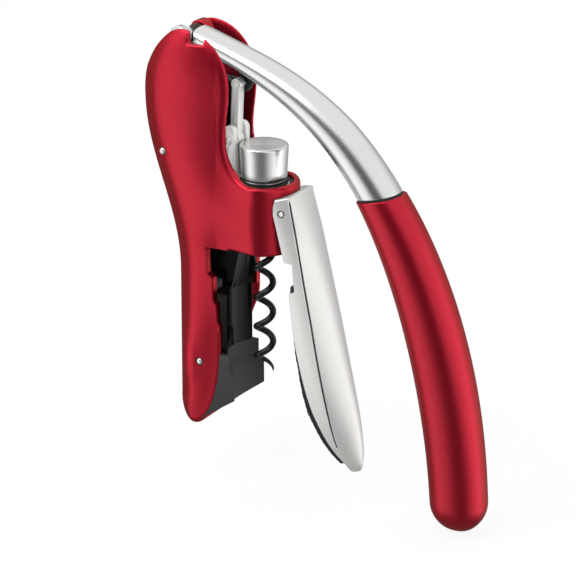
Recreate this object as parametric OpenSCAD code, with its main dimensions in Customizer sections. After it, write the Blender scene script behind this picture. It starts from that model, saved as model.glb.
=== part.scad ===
// Vertical lever corkscrew, drawn as it stands on a bottle with its lever down and its clamp handle open.
// X runs forward, Y across and Z up. The origin is the middle of the bottle's mouth. Millimetres and degrees.

/* [Housing] */
// Width of the housing across its two cheeks
body_w = 31; // [30:0.5:34]
// Thickness of each cheek beside the gap where the lever and the link run
cheek_wall = 5; // [4.5:0.25:5.5]
// Top of the cheeks above the bottle's mouth
head_top = 116; // [115:0.1:120]
// Back of the head behind the worm's axis
head_back = 55.6; // [54.5:0.1:59]
// Front of the cheeks behind the worm's axis
cheek_front = 10.5; // [9:0.5:12]
// Waist of the cheeks behind the worm's axis
waist_depth = 12.5; // [11:0.5:14]
// Back of the spine behind the worm's axis
spine_back = 38.9; // [37.9:0.1:42]
// Foot of the spine below the bottle's mouth
spine_foot = 66.7; // [65:0.1:72]
// Top of the collar above the bottle's mouth
collar_top = 52; // [51:0.5:53]
// Foot of the collar above the bottle's mouth
collar_foot = 21.5; // [20:0.5:23]
// Thickness of the collar's wall
collar_wall = 2.8; // [2:0.1:3]
// Thickness of the bush inside the collar
bush_wall = 1.4; // [1.1:0.1:1.8]
// Thickness of the spine's back wall
back_wall = 5; // [4:0.5:6]
// Thickness of the spine's side walls beside the bottle neck
side_wall = 2.9; // [2.5:0.1:4]

/* [Lever] */
// Length of the domed end of the grip
grip_dome = 13.5; // [10:0.5:16]
// Half thickness of the arm at the seam
seam_half = 9.1; // [8:0.1:9.4]
// Half thickness of the grip where it is widest
grip_half = 12.9; // [12:0.1:14]
// Half width of the grip where it is widest
grip_half_w = 10.9; // [10:0.1:12]
// Diameter of the lever's pivot pin
pivot_d = 4.5; // [4:0.25:5]
// Diameter of the barrel round the pivot pin
barrel_d = 9.6; // [9:0.1:10.2]
// How far the lever swings up
lever_swing = 90; // [70:5:95]

/* [Link and carriage] */
// Travel of the carriage over the lever's full swing
lift = 40; // [38:0.5:42]
// Angle by which the link leans back over the lever's full swing
link_lean = 9; // [8:0.5:10]
// Diameter of the link's two pins
link_pin_d = 3; // [2.4:0.1:3.4]
// Thickness of the link's eyes
link_t = 4.4; // [3.6:0.2:4.6]

/* [Knob] */
// Radius of the knob at its top
knob_r = 10.9; // [10:0.1:11]
// Height of the knob
knob_h = 16.9; // [15:0.1:18]

/* [Worm] */
// Diameter of the worm's wire
wire_d = 2.9; // [2.4:0.1:3.2]
// Outer diameter of the worm
worm_d = 10.2; // [9.6:0.1:10.6]
// Pitch of the worm
worm_pitch = 14; // [12:0.25:15]
// Depth of the worm's tip below the bottle's mouth
worm_depth = 38; // [32:1:39]

/* [Clamp] */
// Angle at which the open clamp handle hangs
clamp_open = 14.8; // [14:0.1:16]
// Angle by which the clamp handle closes on the neck
clamp_close = 9; // [6:0.5:9.5]
// Thickness of the handle's shell
clamp_t = 1.7; // [1.4:0.1:1.8]
// Radius of the bottle neck that the jaws hold
neck_r = 15; // [14.5:0.1:15.5]
// Diameter of the clamp's hinge pin
hinge_d = 3; // [2.5:0.1:3.2]

/* [Hidden] */
$fn = 64;
EPS = 0.05;
RUN = 0.3;
FIT = 0.04;

half_w = body_w / 2;
gap_half = half_w - cheek_wall;
channel_half = half_w - side_wall;
collar_r = half_w + 0.1;
bore_r = half_w - collar_wall;
carriage_r = bore_r - bush_wall - RUN;
crown_x = -32.5;
front_bulge_z = 93;
back_bulge_z = 84;
waist_z = 70.5;
spine_top_z = 8;
foot_x = -31.5;
edge_x = -15.5;
edge_z = -24;
far_edge_x = -10.4;
notch_x = -29.5;
notch_z = 110.2;
notch_len = 7.5;
rim_r = 1.8;
rise_x = 2;
pivot = [-36, 111.4];
link_top = [-12.8, 92.3];
link_foot = [-14, 68];
pin_r = link_pin_d / 2;
slot_clear = 0.35;
plate_in = link_t / 2 + 0.4;
plate_out = plate_in + 2.2;
boss_r = 3.3;
lug_r = 4.5;
wire_r = wire_d / 2;
helix_r = worm_d / 2 - wire_r;
flange_z = 36.5;
carriage_z0 = 39.5;
carriage_z1 = 50.6;
knob_z0 = carriage_z1 + 0.1;
shank_r = 4;
hinge = [collar_r - 0.1, 41.9];
handle_half = half_w - 2.9;
handle_top = 6.4;
handle_tip = -122;
rail_in = gap_half - 2.9;
tail_half = rail_in - 2;
rail_x0 = -26;
rail_x1 = -20;
tongue_half = 1;
hinge_boss = 3;
hinge_saddle = 6.4;
upper_pin = [-43.2, 60.9];
lower_pin = [-25.6, -34.2];
cross_pin_r = 1.45;

// A plane curve's point at angle a, and linear mixing of two lists of values
function rot2(v, a) = [v[0] * cos(a) - v[1] * sin(a), v[0] * sin(a) + v[1] * cos(a)];
function mix(a, b, f) = a + (b - a) * f;
function unit(v) = v / norm(v);

// Stretches of the housing's side outline: [x, z, depth of edge rounding, width of edge rounding]
function stretch_arc(c, ab, a0, a1, n, e0, e1) = [for (i = [0 : n - 1]) let (f = i / n, a = mix(a0, a1, f))
    [c[0] + ab[0] * cos(a), c[1] + ab[1] * sin(a), mix(e0[0], e1[0], f), mix(e0[1], e1[1], f)]];
function stretch_wave(p, q, n, e0, e1) = [for (i = [0 : n - 1]) let (f = i / n)
    [mix(p[0], q[0], (1 - cos(180 * f)) / 2), mix(p[1], q[1], f), mix(e0[0], e1[0], f), mix(e0[1], e1[1], f)]];

soft = [0.9, 1.2];
rim = [rim_r - 0.3, rim_r];
foot_r = 1.4;
cheek_edge = [4.5, 4.5];
crown_edge = [6, 2.4];
nape_edge = [8, 7.5];
back_edge = [12, 11];
foot_edge = [3, 8];
collar_front = [collar_r - rim_r, collar_top - rim_r];

outline = concat(
    stretch_arc([collar_r - foot_r, collar_foot + foot_r], [foot_r, foot_r], -90, 0, 3, soft, soft),
    stretch_arc(collar_front, [rim_r, rim_r], 0, 90, 4, rim, rim),
    [[collar_r - rim_r, collar_top, rim[0], rim[1]], [rise_x + 5, collar_top, rim[0], rim[1]]],
    stretch_arc([rise_x, waist_z], [rise_x + waist_depth, waist_z - collar_top], 270, 180, 9, rim, [3.5, 3.5]),
    stretch_wave([-waist_depth, waist_z], [-cheek_front, front_bulge_z], 6, [3.5, 3.5], cheek_edge),
    stretch_arc([crown_x, front_bulge_z], [-cheek_front - crown_x, head_top - front_bulge_z], 0, 90, 10,
        cheek_edge, crown_edge),
    stretch_arc([crown_x, back_bulge_z], [crown_x + head_back, head_top - back_bulge_z], 90, 120, 4,
        crown_edge, nape_edge),
    stretch_arc([crown_x, back_bulge_z], [crown_x + head_back, head_top - back_bulge_z], 120, 180, 7,
        nape_edge, back_edge),
    stretch_wave([-head_back, back_bulge_z], [-spine_back, spine_top_z], 12, back_edge, back_edge),
    [[-spine_back, spine_top_z, 12, 11], [-spine_back, -22, 11, 10.5]],
    stretch_arc([foot_x, -52], [spine_back + foot_x, spine_foot - 52], 180, 270, 7, [10, 10], foot_edge),
    stretch_arc([foot_x, edge_z], [edge_x - foot_x, spine_foot + edge_z], 270, 315, 6, foot_edge, soft),
    stretch_arc([foot_x, edge_z], [edge_x - foot_x, spine_foot + edge_z], 315, 360, 6, soft, soft),
    stretch_wave([edge_x, edge_z], [far_edge_x, -4], 5, soft, soft),
    [[far_edge_x, -4, soft[0], soft[1]]],
    stretch_arc([far_edge_x + 1.5, collar_foot - 1.5], [1.5, 1.5], 180, 90, 3, soft, soft),
    [[far_edge_x + 1.5, collar_foot, soft[0], soft[1]]]);

// The housing's skin: the outline drawn in towards its cheeks, with the collar's front rounded in plan
layer_share = [0, 0.16, 0.29, 0.47, 0.645, 0.79, 0.9, 0.96, 0.987, 1];
layers = concat([for (i = [9 : -1 : 1]) -half_w * layer_share[i]], [for (i = [0 : 9]) half_w * layer_share[i]]);
function outward(i) = let (n = len(outline), p = outline[(i + n - 1) % n], q = outline[(i + 1) % n])
    unit([q[1] - p[1], p[0] - q[0]]);
crown_dip = 1.6;
function inner_dip(p, y) = let (w = crown_edge[1], s = max(0, min(1, (half_w - w - abs(y)) / (cheek_wall - w))))
    crown_dip * max(0, min(1, (p[1] - 98) / 12)) * (1 - sqrt(1 - s * s));
function skin(i, y) = let (p = outline[i], t = max(0, (abs(y) - half_w + p[3]) / p[3]),
        d = p[2] * (1 - sqrt(max(0, 1 - t * t))) + inner_dip(p, y), n = outward(i),
        plan = sqrt(1 - pow(y / collar_r, 2)))
    p[0] > 0 ? [p[0] * plan, y, p[1] - d * n[1]] : [p[0] - d * n[0], y, p[1] - d * n[1]];

// Triangles that fill a flat outline, cut off one corner at a time with the shortest cut first
function turn(a, b, c) = (b[0] - a[0]) * (c[1] - a[1]) - (b[1] - a[1]) * (c[0] - a[0]);
function holds(a, b, c, p) = turn(a, b, p) >= 0 && turn(b, c, p) >= 0 && turn(c, a, p) >= 0;
function free_corner(pts, a, b, c, ids) = turn(pts[a], pts[b], pts[c]) > 0
    && len([for (k = ids) if (k != a && k != b && k != c && holds(pts[a], pts[b], pts[c], pts[k])) k]) == 0;
function corner_cuts(pts, ids) = let (n = len(ids)) [for (i = [0 : n - 1])
    let (a = ids[(i + n - 1) % n], c = ids[(i + 1) % n])
        free_corner(pts, a, ids[i], c, ids) ? norm(pts[a] - pts[c]) : 1e6];
function fill(pts, ids) = len(ids) == 3 ? [ids]
    : let (n = len(ids), cuts = corner_cuts(pts, ids), i = search(min(cuts), cuts)[0])
        concat([[ids[(i + n - 1) % n], ids[i], ids[(i + 1) % n]]],
            fill(pts, [for (k = [0 : n - 1]) if (k != i) ids[k]]));

// A closed skin over a list of rings of equal length, with each end filled by the triangles in ends
module loft(rings, ends = undef) {
    n = len(rings[0]);
    m = len(rings);
    points = [for (r = rings) for (p = r) p];
    sides = [for (i = [0 : m - 2]) for (j = [0 : n - 1]) let (k = (j + 1) % n)
        each [[i * n + j, i * n + k, (i + 1) * n + k], [i * n + j, (i + 1) * n + k, (i + 1) * n + j]]];
    caps = is_undef(ends) ? [[for (j = [0 : n - 1]) j]] : ends;
    first = [for (f = caps) [for (j = [len(f) - 1 : -1 : 0]) f[j]]];
    last = [for (f = caps) [for (j = f) (m - 1) * n + j]];
    polyhedron(points = points, faces = concat(sides, first, last), convexity = 10);
}

// A rod along Y from y0 to y1, and its mirrored pair
module rod(p, r, y0, y1) {
    translate([p[0], y0, p[1]])
        rotate([-90, 0, 0])
            cylinder(r = r, h = y1 - y0);
}
module rods(p, r, y0, y1) {
    rod(p, r, y0, y1);
    rod(p, r, -y1, -y0);
}

// A flat shape drawn in X and Z, spread from y0 to y1
module slab(y0, y1) {
    translate([0, y1, 0])
        rotate([90, 0, 0])
            linear_extrude(y1 - y0)
                children();
}

// A tapered bar between two round ends
module bar(p, r, q, s) {
    d = norm(q - p);
    a = atan2(q[1] - p[1], q[0] - p[0]);
    b = acos((r - s) / d);
    translate(p)
        circle(r);
    translate(q)
        circle(s);
    polygon([p + r * [cos(a + b), sin(a + b)], p + r * [cos(a - b), sin(a - b)],
        q + s * [cos(a - b), sin(a - b)], q + s * [cos(a + b), sin(a + b)]]);
}

// Back of the cavity inside the housing at height z
function back_share(z) = (1 - cos(180 * (z - spine_top_z) / (back_bulge_z - spine_top_z))) / 2;
function inner_back(z) = back_wall - mix(spine_back, head_back, back_share(min(z, back_bulge_z)))
    + max(0, z - back_bulge_z) / 4;
cavity_foot = -spine_foot + 4.4;
liner_foot = -29;

// Corner of a cut softened by an arc of radius r between its two sides
function corner(p, c, q, r) = let (u = unit(p - c), v = unit(q - c), reach = r / tan(acos(u * v) / 2))
    [for (i = [0 : 4]) let (f = i / 4, a = c + u * reach, b = c + v * reach)
        (1 - f) * (1 - f) * a + 2 * f * (1 - f) * c + f * f * b];
function soften(pts, r) = [for (i = [0 : len(pts) - 1]) let (n = len(pts))
    each corner(pts[(i + n - 1) % n], pts[i], pts[(i + 1) % n], r)];

// Sight window in the right side of the spine, stepped like the neck beside it
window_top = collar_foot - 0.6;
window = soften([[far_edge_x + 2.4, window_top], [-20.7, window_top], [-20.7, 9.2], [-17.9, 6.8], [-17.9, -4],
    [-16.4, -5.6], [-16.4, -14.4], [-15.5, -15.6], [-15.3, -21], [far_edge_x + 2.4, -21]], 0.5);

module housing() {
    color("firebrick")
        difference() {
            loft([for (y = layers) [for (i = [0 : len(outline) - 1]) skin(i, y)]],
                fill([for (i = [0 : len(outline) - 1]) let (p = skin(i, half_w)) [p[0], p[2]]],
                    [for (i = [0 : len(outline) - 1]) i]));
            translate([0, 0, 15])
                cylinder(r = bore_r, h = collar_top + 3 - 15);
            slab(-gap_half, gap_half)
                polygon(concat([[40, head_top + 20], [-49, head_top + 20]],
                    [for (z = [98 : -10 : spine_top_z]) [inner_back(z), z]],
                    [[-spine_back + back_wall, 0], [-8, 0], [-8, collar_top + 0.3], [40, collar_top + 0.3]]));
            translate([-spine_back + back_wall, -gap_half, liner_foot - 0.1])
                cube([60, 2 * gap_half, collar_foot - 0.4 - liner_foot + 0.1]);
            translate([-spine_back + back_wall, -channel_half, cavity_foot])
                cube([60, 2 * channel_half, liner_foot - cavity_foot]);
            translate([0, 0, liner_foot - 0.1])
                cylinder(r = lip_r, h = bell_z - liner_foot + 0.1);
            slab(-half_w - 5, 0)
                polygon(window);
            rod(upper_pin, cross_pin_r + FIT, -half_w - 5, half_w + 5);
            rod(lower_pin, cross_pin_r + FIT, -half_w - 5, half_w + 5);
            rod(pivot, pivot_d / 2 + FIT, -half_w + 2.6, half_w - 2.6);
            rod(hinge, hinge_d / 2 + FIT, -20, 20);
            translate([notch_x, -half_w - 5, notch_z])
                cube([notch_len, half_w + 5, 20]);
        }
}

module collar_bush() {
    color("black")
        difference() {
            translate([0, 0, collar_foot + 5.8])
                cylinder(r = bore_r - EPS, h = collar_top - 1.6 - collar_foot - 5.8);
            translate([0, 0, collar_foot])
                cylinder(r = carriage_r + RUN, h = collar_top);
            translate([-30, -tail_half - 0.6, 0])
                cube([30, 2 * tail_half + 1.2, 80]);
        }
}

// Height of the drive peg, and the worm wire's angle at any height
peg_z = collar_foot + 3;
ramp = 5;
helix_top = flange_z - wire_d;
function worm_angle(z) = let (d = helix_top - z)
    d <= 0 ? 0 : d < ramp ? -180 * d * d / ramp / worm_pitch : -360 * (d - ramp / 2) / worm_pitch;

module worm_guide() {
    color("dimgray")
        difference() {
            translate([0, 0, collar_foot + 0.3])
                cylinder(r = bore_r - EPS, h = 5.3);
            cylinder(r = worm_d / 2 + 0.6, h = 60);
            rotate([0, 0, worm_angle(peg_z) + 180])
                translate([0, 0, peg_z])
                    rotate([0, 90, 0])
                        cylinder(r = 1.1 + FIT, h = bore_r - 1);
        }
}

module drive_peg() {
    color("silver")
        rotate([0, 0, worm_angle(peg_z) + 180])
            translate([helix_r - wire_r + 0.5, 0, peg_z])
                rotate([0, 90, 0])
                    cylinder(r = 1.1, h = bore_r - 1.2 - helix_r + wire_r - 0.5);
}

// A grooved rail between cheek and carriage, shaped to the inside of the housing
module guide_rail(s) {
    y0 = rail_in;
    y1 = gap_half - EPS;
    scale([1, s, 1])
        difference() {
            slab(y0, y1)
                polygon([[rail_x1, collar_foot + 0.6], [rail_x1, 92], [rail_x0 - 2, 92], [-41, 78],
                    [upper_pin[0] - 2.6, 64], [upper_pin[0] - 2.6, 58], [-37, 38], [-33, collar_foot + 0.6]]);
            translate([(rail_x0 + rail_x1) / 2 - tongue_half - RUN, y0 - 1, 0])
                cube([2 * (tongue_half + RUN), 2.6, 130]);
            rod(upper_pin, cross_pin_r + FIT, 0, 20);
        }
}
module guide_rail_left() {
    color("black")
        guide_rail(1);
}
module guide_rail_right() {
    color("black")
        guide_rail(-1);
}

// Black liner behind the bottle's lip, with a bell that centres the lip under the worm
bell_z = -2;
lip_r = neck_r + 1.7;
module neck_liner() {
    color("black")
        difference() {
            translate([-spine_back + back_wall + EPS, -gap_half + EPS, liner_foot])
                cube([30, 2 * (gap_half - EPS), collar_foot - 1 - liner_foot]);
            translate([0, 0, -40])
                cylinder(r = lip_r, h = 40 + bell_z);
            translate([0, 0, bell_z - 0.01])
                cylinder(r1 = lip_r, r2 = 11.5, h = collar_foot - bell_z);
            slab(-half_w, -1)
                polygon([[-24, 30], [-24, 8], [-20, 3], [-20, -1], [20, -1], [20, 30]]);
            translate([far_edge_x - 0.3, -half_w, -40])
                cube([40, body_w, 80]);
            rod(lower_pin, cross_pin_r + FIT, -half_w, half_w);
        }
}

module neck_jaw() {
    x0 = -spine_back + back_wall + EPS;
    color("dimgray")
        difference() {
            translate([x0, -channel_half + EPS, cavity_foot + EPS])
                cube([-x0 - 6, 2 * (channel_half - EPS), liner_foot - 0.3 - cavity_foot - EPS]);
            translate([0, 0, -90])
                cylinder(r = neck_r, h = 60);
            translate([0, 0, -40])
                cylinder(r1 = neck_r, r2 = lip_r, h = 3);
            translate([0, 0, -37.01])
                cylinder(r = lip_r, h = 20);
            slab(-half_w, half_w)
                polygon([[-25, cavity_foot - 1], [-25, cavity_foot + 0.6], [2, -43], [2, cavity_foot - 1]]);
            rod(lower_pin, cross_pin_r + FIT, -half_w, half_w);
        }
}

module upper_cross_pin() {
    color("silver")
        rod(upper_pin, cross_pin_r, -half_w + 0.75, half_w - 0.75);
}

module lower_cross_pin() {
    color("silver")
        rod(lower_pin, cross_pin_r, -half_w + 0.15, half_w - 0.15);
}

module pivot_pin() {
    color("silver")
        rod(pivot, pivot_d / 2, -half_w + 2.7, half_w - 2.7);
}

// Turned spacer on one side of the lug plates, and a shorter boss of the far cheek on the other
module pivot_spacer() {
    color("silver")
        difference() {
            rod(pivot, barrel_d / 2, -gap_half + EPS, -plate_out - RUN);
            rod(pivot, pivot_d / 2 + FIT, -20, 20);
        }
}

module pivot_boss() {
    color("firebrick")
        difference() {
            rod(pivot, barrel_d / 2 - 0.4, plate_out + RUN, gap_half - EPS);
            rod(pivot, pivot_d / 2 + FIT, -20, 20);
        }
}

// Saddle on the collar's front that holds the clamp's hinge pin
module hinge_bracket() {
    color("firebrick")
        difference() {
            rod(hinge, hinge_boss, -hinge_saddle, hinge_saddle);
            cylinder(r = collar_r + EPS, h = 100);
            rod(hinge, hinge_d / 2 + FIT, -20, 20);
        }
}

// Lever: its middle line, and the arm's and grip's half thickness p and half width q along it
LINE = [[-32, 111.4], [12, 97.3], [51, 88.6], [91, 18], [97.5, -77]];
function between(pts, t) = len(pts) == 1 ? pts[0]
    : between([for (i = [1 : len(pts) - 1]) mix(pts[i - 1], pts[i], t)], t);
function lever_at(t) = between(LINE, t);
function lever_dir(t) = unit(between([for (i = [1 : len(LINE) - 1]) LINE[i] - LINE[i - 1]], t));
seam_t = 0.555;
function arm_p(t) = mix(3.8, seam_half - 0.2, pow(min(1, t / seam_t), 0.7));
function arm_flat(t) = 1.3 * sin(180 * min(1, pow(t / 0.42, 0.8)));
function arm_q(t) = mix(7, seam_half - 0.3, pow(min(1, t / seam_t), 1.7));
function grip_f(t) = sin(90 * min(1, max(0, t - seam_t + 0.035) / 0.36));
function grip_p(t) = mix(seam_half + 0.35, grip_half, grip_f(t)) - 7.5 * pow(max(0, t - 0.88), 1.5);
function grip_q(t) = mix(seam_half + 0.25, grip_half_w, grip_f(t)) - 5 * pow(max(0, t - 0.88), 1.5);
RING = 28;
function lever_ring(c, d, p, q, flat = 0) = [for (i = [0 : RING - 1]) let (a = 360 * i / RING, u = cos(a),
        v = sin(a), f = pow(abs(u), 2.3) + pow(abs(v), 2.3), g = pow(f, -1 / 2.3), h = u > 0 ? p - flat : p)
    [c[0] - d[1] * h * u * g, q * v * g, c[1] + d[0] * h * u * g]];
seam = lever_at(seam_t);
seam_tilt = 14;
module seam_side(up, shift) {
    translate([seam[0], 0, seam[1]])
        rotate([0, -seam_tilt, 0])
            translate([-60, -40, up ? shift : -200 - shift])
                cube([120, 80, 200]);
}

// Lug plates: the pivot boss and a tongue up the arm, and on the far plate the lug with the link's slot
tongue_end = [-3, 101.5];
module plain_shape(grow) {
    bar(pivot, boss_r + grow, tongue_end, 3 + grow);
}
module plate_shape(grow) {
    bar(pivot, boss_r + grow, link_top, lug_r + grow);
    plain_shape(grow);
    bar(link_top, lug_r - 0.4 + grow, tongue_end, 3 - 0.2 + grow);
}
rivets = [[-20, 106], [-5, 101.6]];
tang_dir = lever_dir(seam_t);
module tang(grow) {
    translate([seam[0], 0, seam[1]])
        rotate([0, atan2(tang_dir[0], tang_dir[1]), 0])
            translate([-3.5 - grow, -3 - grow, -17 - grow])
                cube([7 + 2 * grow, 6 + 2 * grow, 36 + 2 * grow]);
}

module lever_arm() {
    color("gainsboro")
        difference() {
            loft([for (i = [0 : 26]) let (t = (seam_t + 0.11) * i / 26)
                lever_ring(lever_at(t), lever_dir(t), arm_p(t), arm_q(t), arm_flat(t))]);
            seam_side(false, -0.45);
            slab(-plate_out - EPS, plate_out + EPS)
                plate_shape(0.4);
            rod(pivot, barrel_d / 2 + 0.6, -20, 20);
            for (p = rivets)
                rod(p, 1.5 + FIT, -6, 6);
            tang(EPS);
        }
}

// Path of the link's upper pin in the lever, which gives the slot its length and width
function pin_in_lever(a) = rot2(link_foot + [0, lift * a / lever_swing]
    + rot2(link_top - link_foot, link_lean * a / lever_swing) - pivot, -a) + pivot;
path = [for (i = [0 : 18]) pin_in_lever(lever_swing * i / 18) - link_top];
slot_dir = unit(pivot - link_top);
slot_side = [-slot_dir[1], slot_dir[0]];
along = [for (p = path) p * slot_dir];
aside = [for (p = path) p * slot_side];
slot_r = pin_r + slot_clear + (max(aside) - min(aside)) / 2;
slot_mid = link_top + slot_side * (max(aside) + min(aside)) / 2;

module lug_plates() {
    color("silver")
        for (s = [-1, 1])
            difference() {
                slab(s > 0 ? plate_in : -plate_out, s > 0 ? plate_out : -plate_in)
                    if (s > 0)
                        plate_shape(0);
                    else
                        plain_shape(0);
                slab(0, 20)
                    bar(slot_mid + slot_dir * min(along), slot_r,
                        slot_mid + slot_dir * max(along), slot_r - 0.001);
                rod(pivot, pivot_d / 2 + FIT, -20, 20);
                for (p = rivets)
                    rod(p, 1.5 + FIT, -20, 20);
            }
}

module pivot_bush() {
    color("peru")
        difference() {
            rod(pivot, boss_r - 0.1, -plate_in + EPS, plate_in - EPS);
            rod(pivot, pivot_d / 2 + FIT, -20, 20);
        }
}

module arm_rivets() {
    color("silver")
        for (p = rivets)
            rod(p, 1.5, -5.9, 5.9);
}

module grip_tang() {
    color("silver")
        tang(0);
}

module seal_ring() {
    color("black")
        difference() {
            intersection() {
                loft([for (i = [0 : 8]) let (t = seam_t + 0.017 * (i - 4))
                    lever_ring(lever_at(t), lever_dir(t), arm_p(t) - 0.1, arm_q(t) - 0.1)]);
                seam_side(true, -0.4);
                seam_side(false, -0.4);
            }
            tang(EPS);
        }
}

module lever_grip() {
    end = lever_at(1);
    color("firebrick")
        difference() {
            loft(concat([for (i = [0 : 17]) let (t = mix(seam_t - 0.1, 1, i / 17))
                    lever_ring(lever_at(t), lever_dir(t), grip_p(t), grip_q(t))],
                [for (a = [15, 30, 45, 58, 70, 80, 87])
                    lever_ring(end + lever_dir(1) * grip_dome * sin(a), lever_dir(1),
                        grip_p(1) * cos(a), grip_q(1) * cos(a))]));
            seam_side(true, -0.45);
            tang(EPS);
        }
}

module link_bar() {
    color("silver")
        difference() {
            slab(-link_t / 2, link_t / 2) {
                bar(link_foot, 1.9, link_top, 1.899);
                translate(link_foot)
                    circle(2.9);
                translate(link_top)
                    circle(pin_r + 0.9);
            }
            rod(link_foot, pin_r + FIT, -10, 10);
            rod(link_top, pin_r + FIT, -10, 10);
        }
}

module link_upper_pin() {
    color("silver")
        rod(link_top, pin_r, -link_t / 2, plate_out);
}

ear_in = link_t / 2 + 1.1;
ear_out = ear_in + 3;
module carriage() {
    color("silver")
        difference() {
            union() {
                translate([0, 0, carriage_z0])
                    cylinder(r = carriage_r, h = carriage_z1 - carriage_z0);
                translate([rail_x0 - 1, -tail_half, carriage_z0])
                    cube([-rail_x0 + 1, 2 * tail_half, carriage_z1 - carriage_z0]);
                for (s = [-1, 1])
                    slab(s > 0 ? ear_in : -ear_out, s > 0 ? ear_out : -ear_in)
                        bar([link_foot[0], carriage_z1 - 4], 3, [link_foot[0], link_foot[1] + 3.8], 2.999);
            }
            cylinder(r = shank_r + EPS, h = 90);
            rod(link_foot, pin_r + FIT, -10, 10);
        }
}

module carriage_shoes() {
    xm = (rail_x0 + rail_x1) / 2;
    color("black")
        for (s = [-1, 1])
            translate([xm, 0, carriage_z0 + 0.5])
                scale([1, s, 1]) {
                    translate([-2.7, tail_half + 0.02, 0])
                        cube([5.4, rail_in - RUN - tail_half - 0.02, 10]);
                    translate([-tongue_half, rail_in - RUN - 0.5, 0])
                        cube([2 * tongue_half, 1.7, 10]);
                }
}

module link_lower_pin() {
    color("silver")
        rod(link_foot, pin_r, -ear_out, ear_out);
}

module thrust_washer() {
    color("silver")
        translate([0, 0, carriage_z0 - 0.9])
            difference() {
                cylinder(r = 6.5, h = 0.88);
                translate([0, 0, -1])
                    cylinder(r = shank_r + EPS, h = 4);
            }
}

// Worm wire: straight where it meets the shank, then a right-hand helix that narrows to a point
function worm_mid(z) = [helix_r * cos(worm_angle(z)), helix_r * sin(worm_angle(z)), z];
function worm_ring(z, r) = let (a = worm_angle(z), d = unit(worm_mid(z + 0.05) - worm_mid(z - 0.05)),
        u = [cos(a), sin(a), 0], v = cross(d, u))
    [for (i = [0 : 7]) worm_mid(z) + r * (cos(45 * i) * u - sin(45 * i) * v)];
worm_step = worm_pitch / 18;
worm_rings = floor((helix_top + worm_depth) / worm_step);
module worm() {
    color("black")
        loft(concat([for (i = [0 : worm_rings]) let (z = -worm_depth + i * worm_step)
                worm_ring(z, wire_r * sqrt(min(1, (i + 0.15) / 10)))],
            [worm_ring(flange_z - wire_d / 2, wire_r), worm_ring(flange_z, wire_r)]));
}
echo(worm_least_self_gap = worm_pitch * cos(atan(worm_pitch / (2 * PI * helix_r))) - wire_d);

module worm_shank() {
    color("silver") {
        translate([0, 0, flange_z])
            cylinder(r = worm_d / 2 + 0.2, h = carriage_z0 - 1 - flange_z);
        translate([0, 0, flange_z + 1])
            cylinder(r = shank_r, h = knob_z0 + 10 - flange_z - 1);
    }
}

// Turned knob with a soft top edge, a fine groove near its foot and a slight taper
module knob() {
    z1 = knob_z0 + knob_h;
    foot_r = knob_r - 1.4;
    color("lightgray")
        difference() {
            rotate_extrude()
                polygon([[0, knob_z0 + 1], [foot_r, knob_z0 + 1], [foot_r, knob_z0 + 1.9],
                    [foot_r - 0.4, knob_z0 + 2], [foot_r - 0.4, knob_z0 + 2.4], [foot_r + 0.1, knob_z0 + 2.5],
                    [knob_r, z1 - 1.2], [knob_r - 0.1, z1 - 0.7], [knob_r - 0.4, z1 - 0.3],
                    [knob_r - 0.9, z1 - 0.05], [knob_r - 1.3, z1], [0, z1]]);
            cylinder(r = shank_r + 0.02, h = knob_z0 + 10.02);
        }
}

module knob_ring() {
    color("black")
        translate([0, 0, knob_z0])
            difference() {
                cylinder(r = knob_r - 0.1, h = 0.98);
                translate([0, 0, -1])
                    cylinder(r = shank_r + 0.02, h = 5);
            }
}

// Clamp handle: sections across it, from its top to its rounded tip, in the handle's own hanging place
module in_clamp() {
    translate([hinge[0], 0, hinge[1]])
        rotate([0, -clamp_open, 0])
            children();
}
function clamp_half(z) = handle_half * sqrt(max(0, 1 - pow(max(0, -50 - z) / (-50 - handle_tip), 2.2)));
function clamp_face(z) = 5.4 + 2.4 * sin(90 * min(1, max(0, handle_top - z) / 60))
    - 6 * (1 - sqrt(max(0, 1 - pow(max(0, -92 - z) / (-92 - handle_tip), 2))));
function clamp_edge(z) =
    lookup(z, [[6.4, 4.5], [-12, 4.2], [-52, 2.2], [-93, -0.8], [-106, -1.6], [-122, 0]]);
function clamp_lean(z) = lookup(z, [[6.4, 0.8], [-12, 0.885], [-32, 0.94], [-60, 0.965], [-93, 0.99]]);
function clamp_ring(z, inset) = let (h = clamp_half(z), e = h * clamp_lean(z) - inset,
        x1 = clamp_face(z) - inset, x0 = min(clamp_edge(z), x1 - 0.3),
        side = (h - inset - e) / (x0 + 4) * 16 + h - inset)
    concat([[-20, -side, z]], [for (i = [0 : 14]) let (a = 180 * i / 14, c = cos(a))
        [x0 + (x1 - x0) * pow(max(0, 1 - pow(abs(c), 2)), 0.9), -e * c, z]], [[-20, side, z]]);
clamp_z = [20, -12, -30, -45, -58, -70, -80, -88, -95, -101, -106, -110, -113.5, -116.5, -118.7, -120.4,
    -121.4, -121.9];
module clamp_form(inset, z_start, z_end) {
    loft([for (k = clamp_z) if (k > z_end) clamp_ring(min(k, z_start), inset)]);
}
clamp_back = [[-3.2, 3.3], [-4, 0], [-4, -18], [-4.1, -21.1], [-0.3, -22.4], [-1.5, -29], [-2.2, -34.4],
    [-5.2, -35.2], [-6.4, -43], [-7.7, -53], [-8.4, -62.4], [-8.8, -72], [-8.9, -81], [-8.5, -90], [-7.2, -98],
    [-5.8, -105], [-3.9, -111], [-1.6, -116.6], [0.4, -121]];
module neck_cut(r) {
    translate([hinge[0], 0, hinge[1]])
        rotate([0, -clamp_close, 0])
            translate([-hinge[0], 0, -hinge[1]])
                translate([0, 0, -120])
                    cylinder(r = r, h = 200);
}

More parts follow.
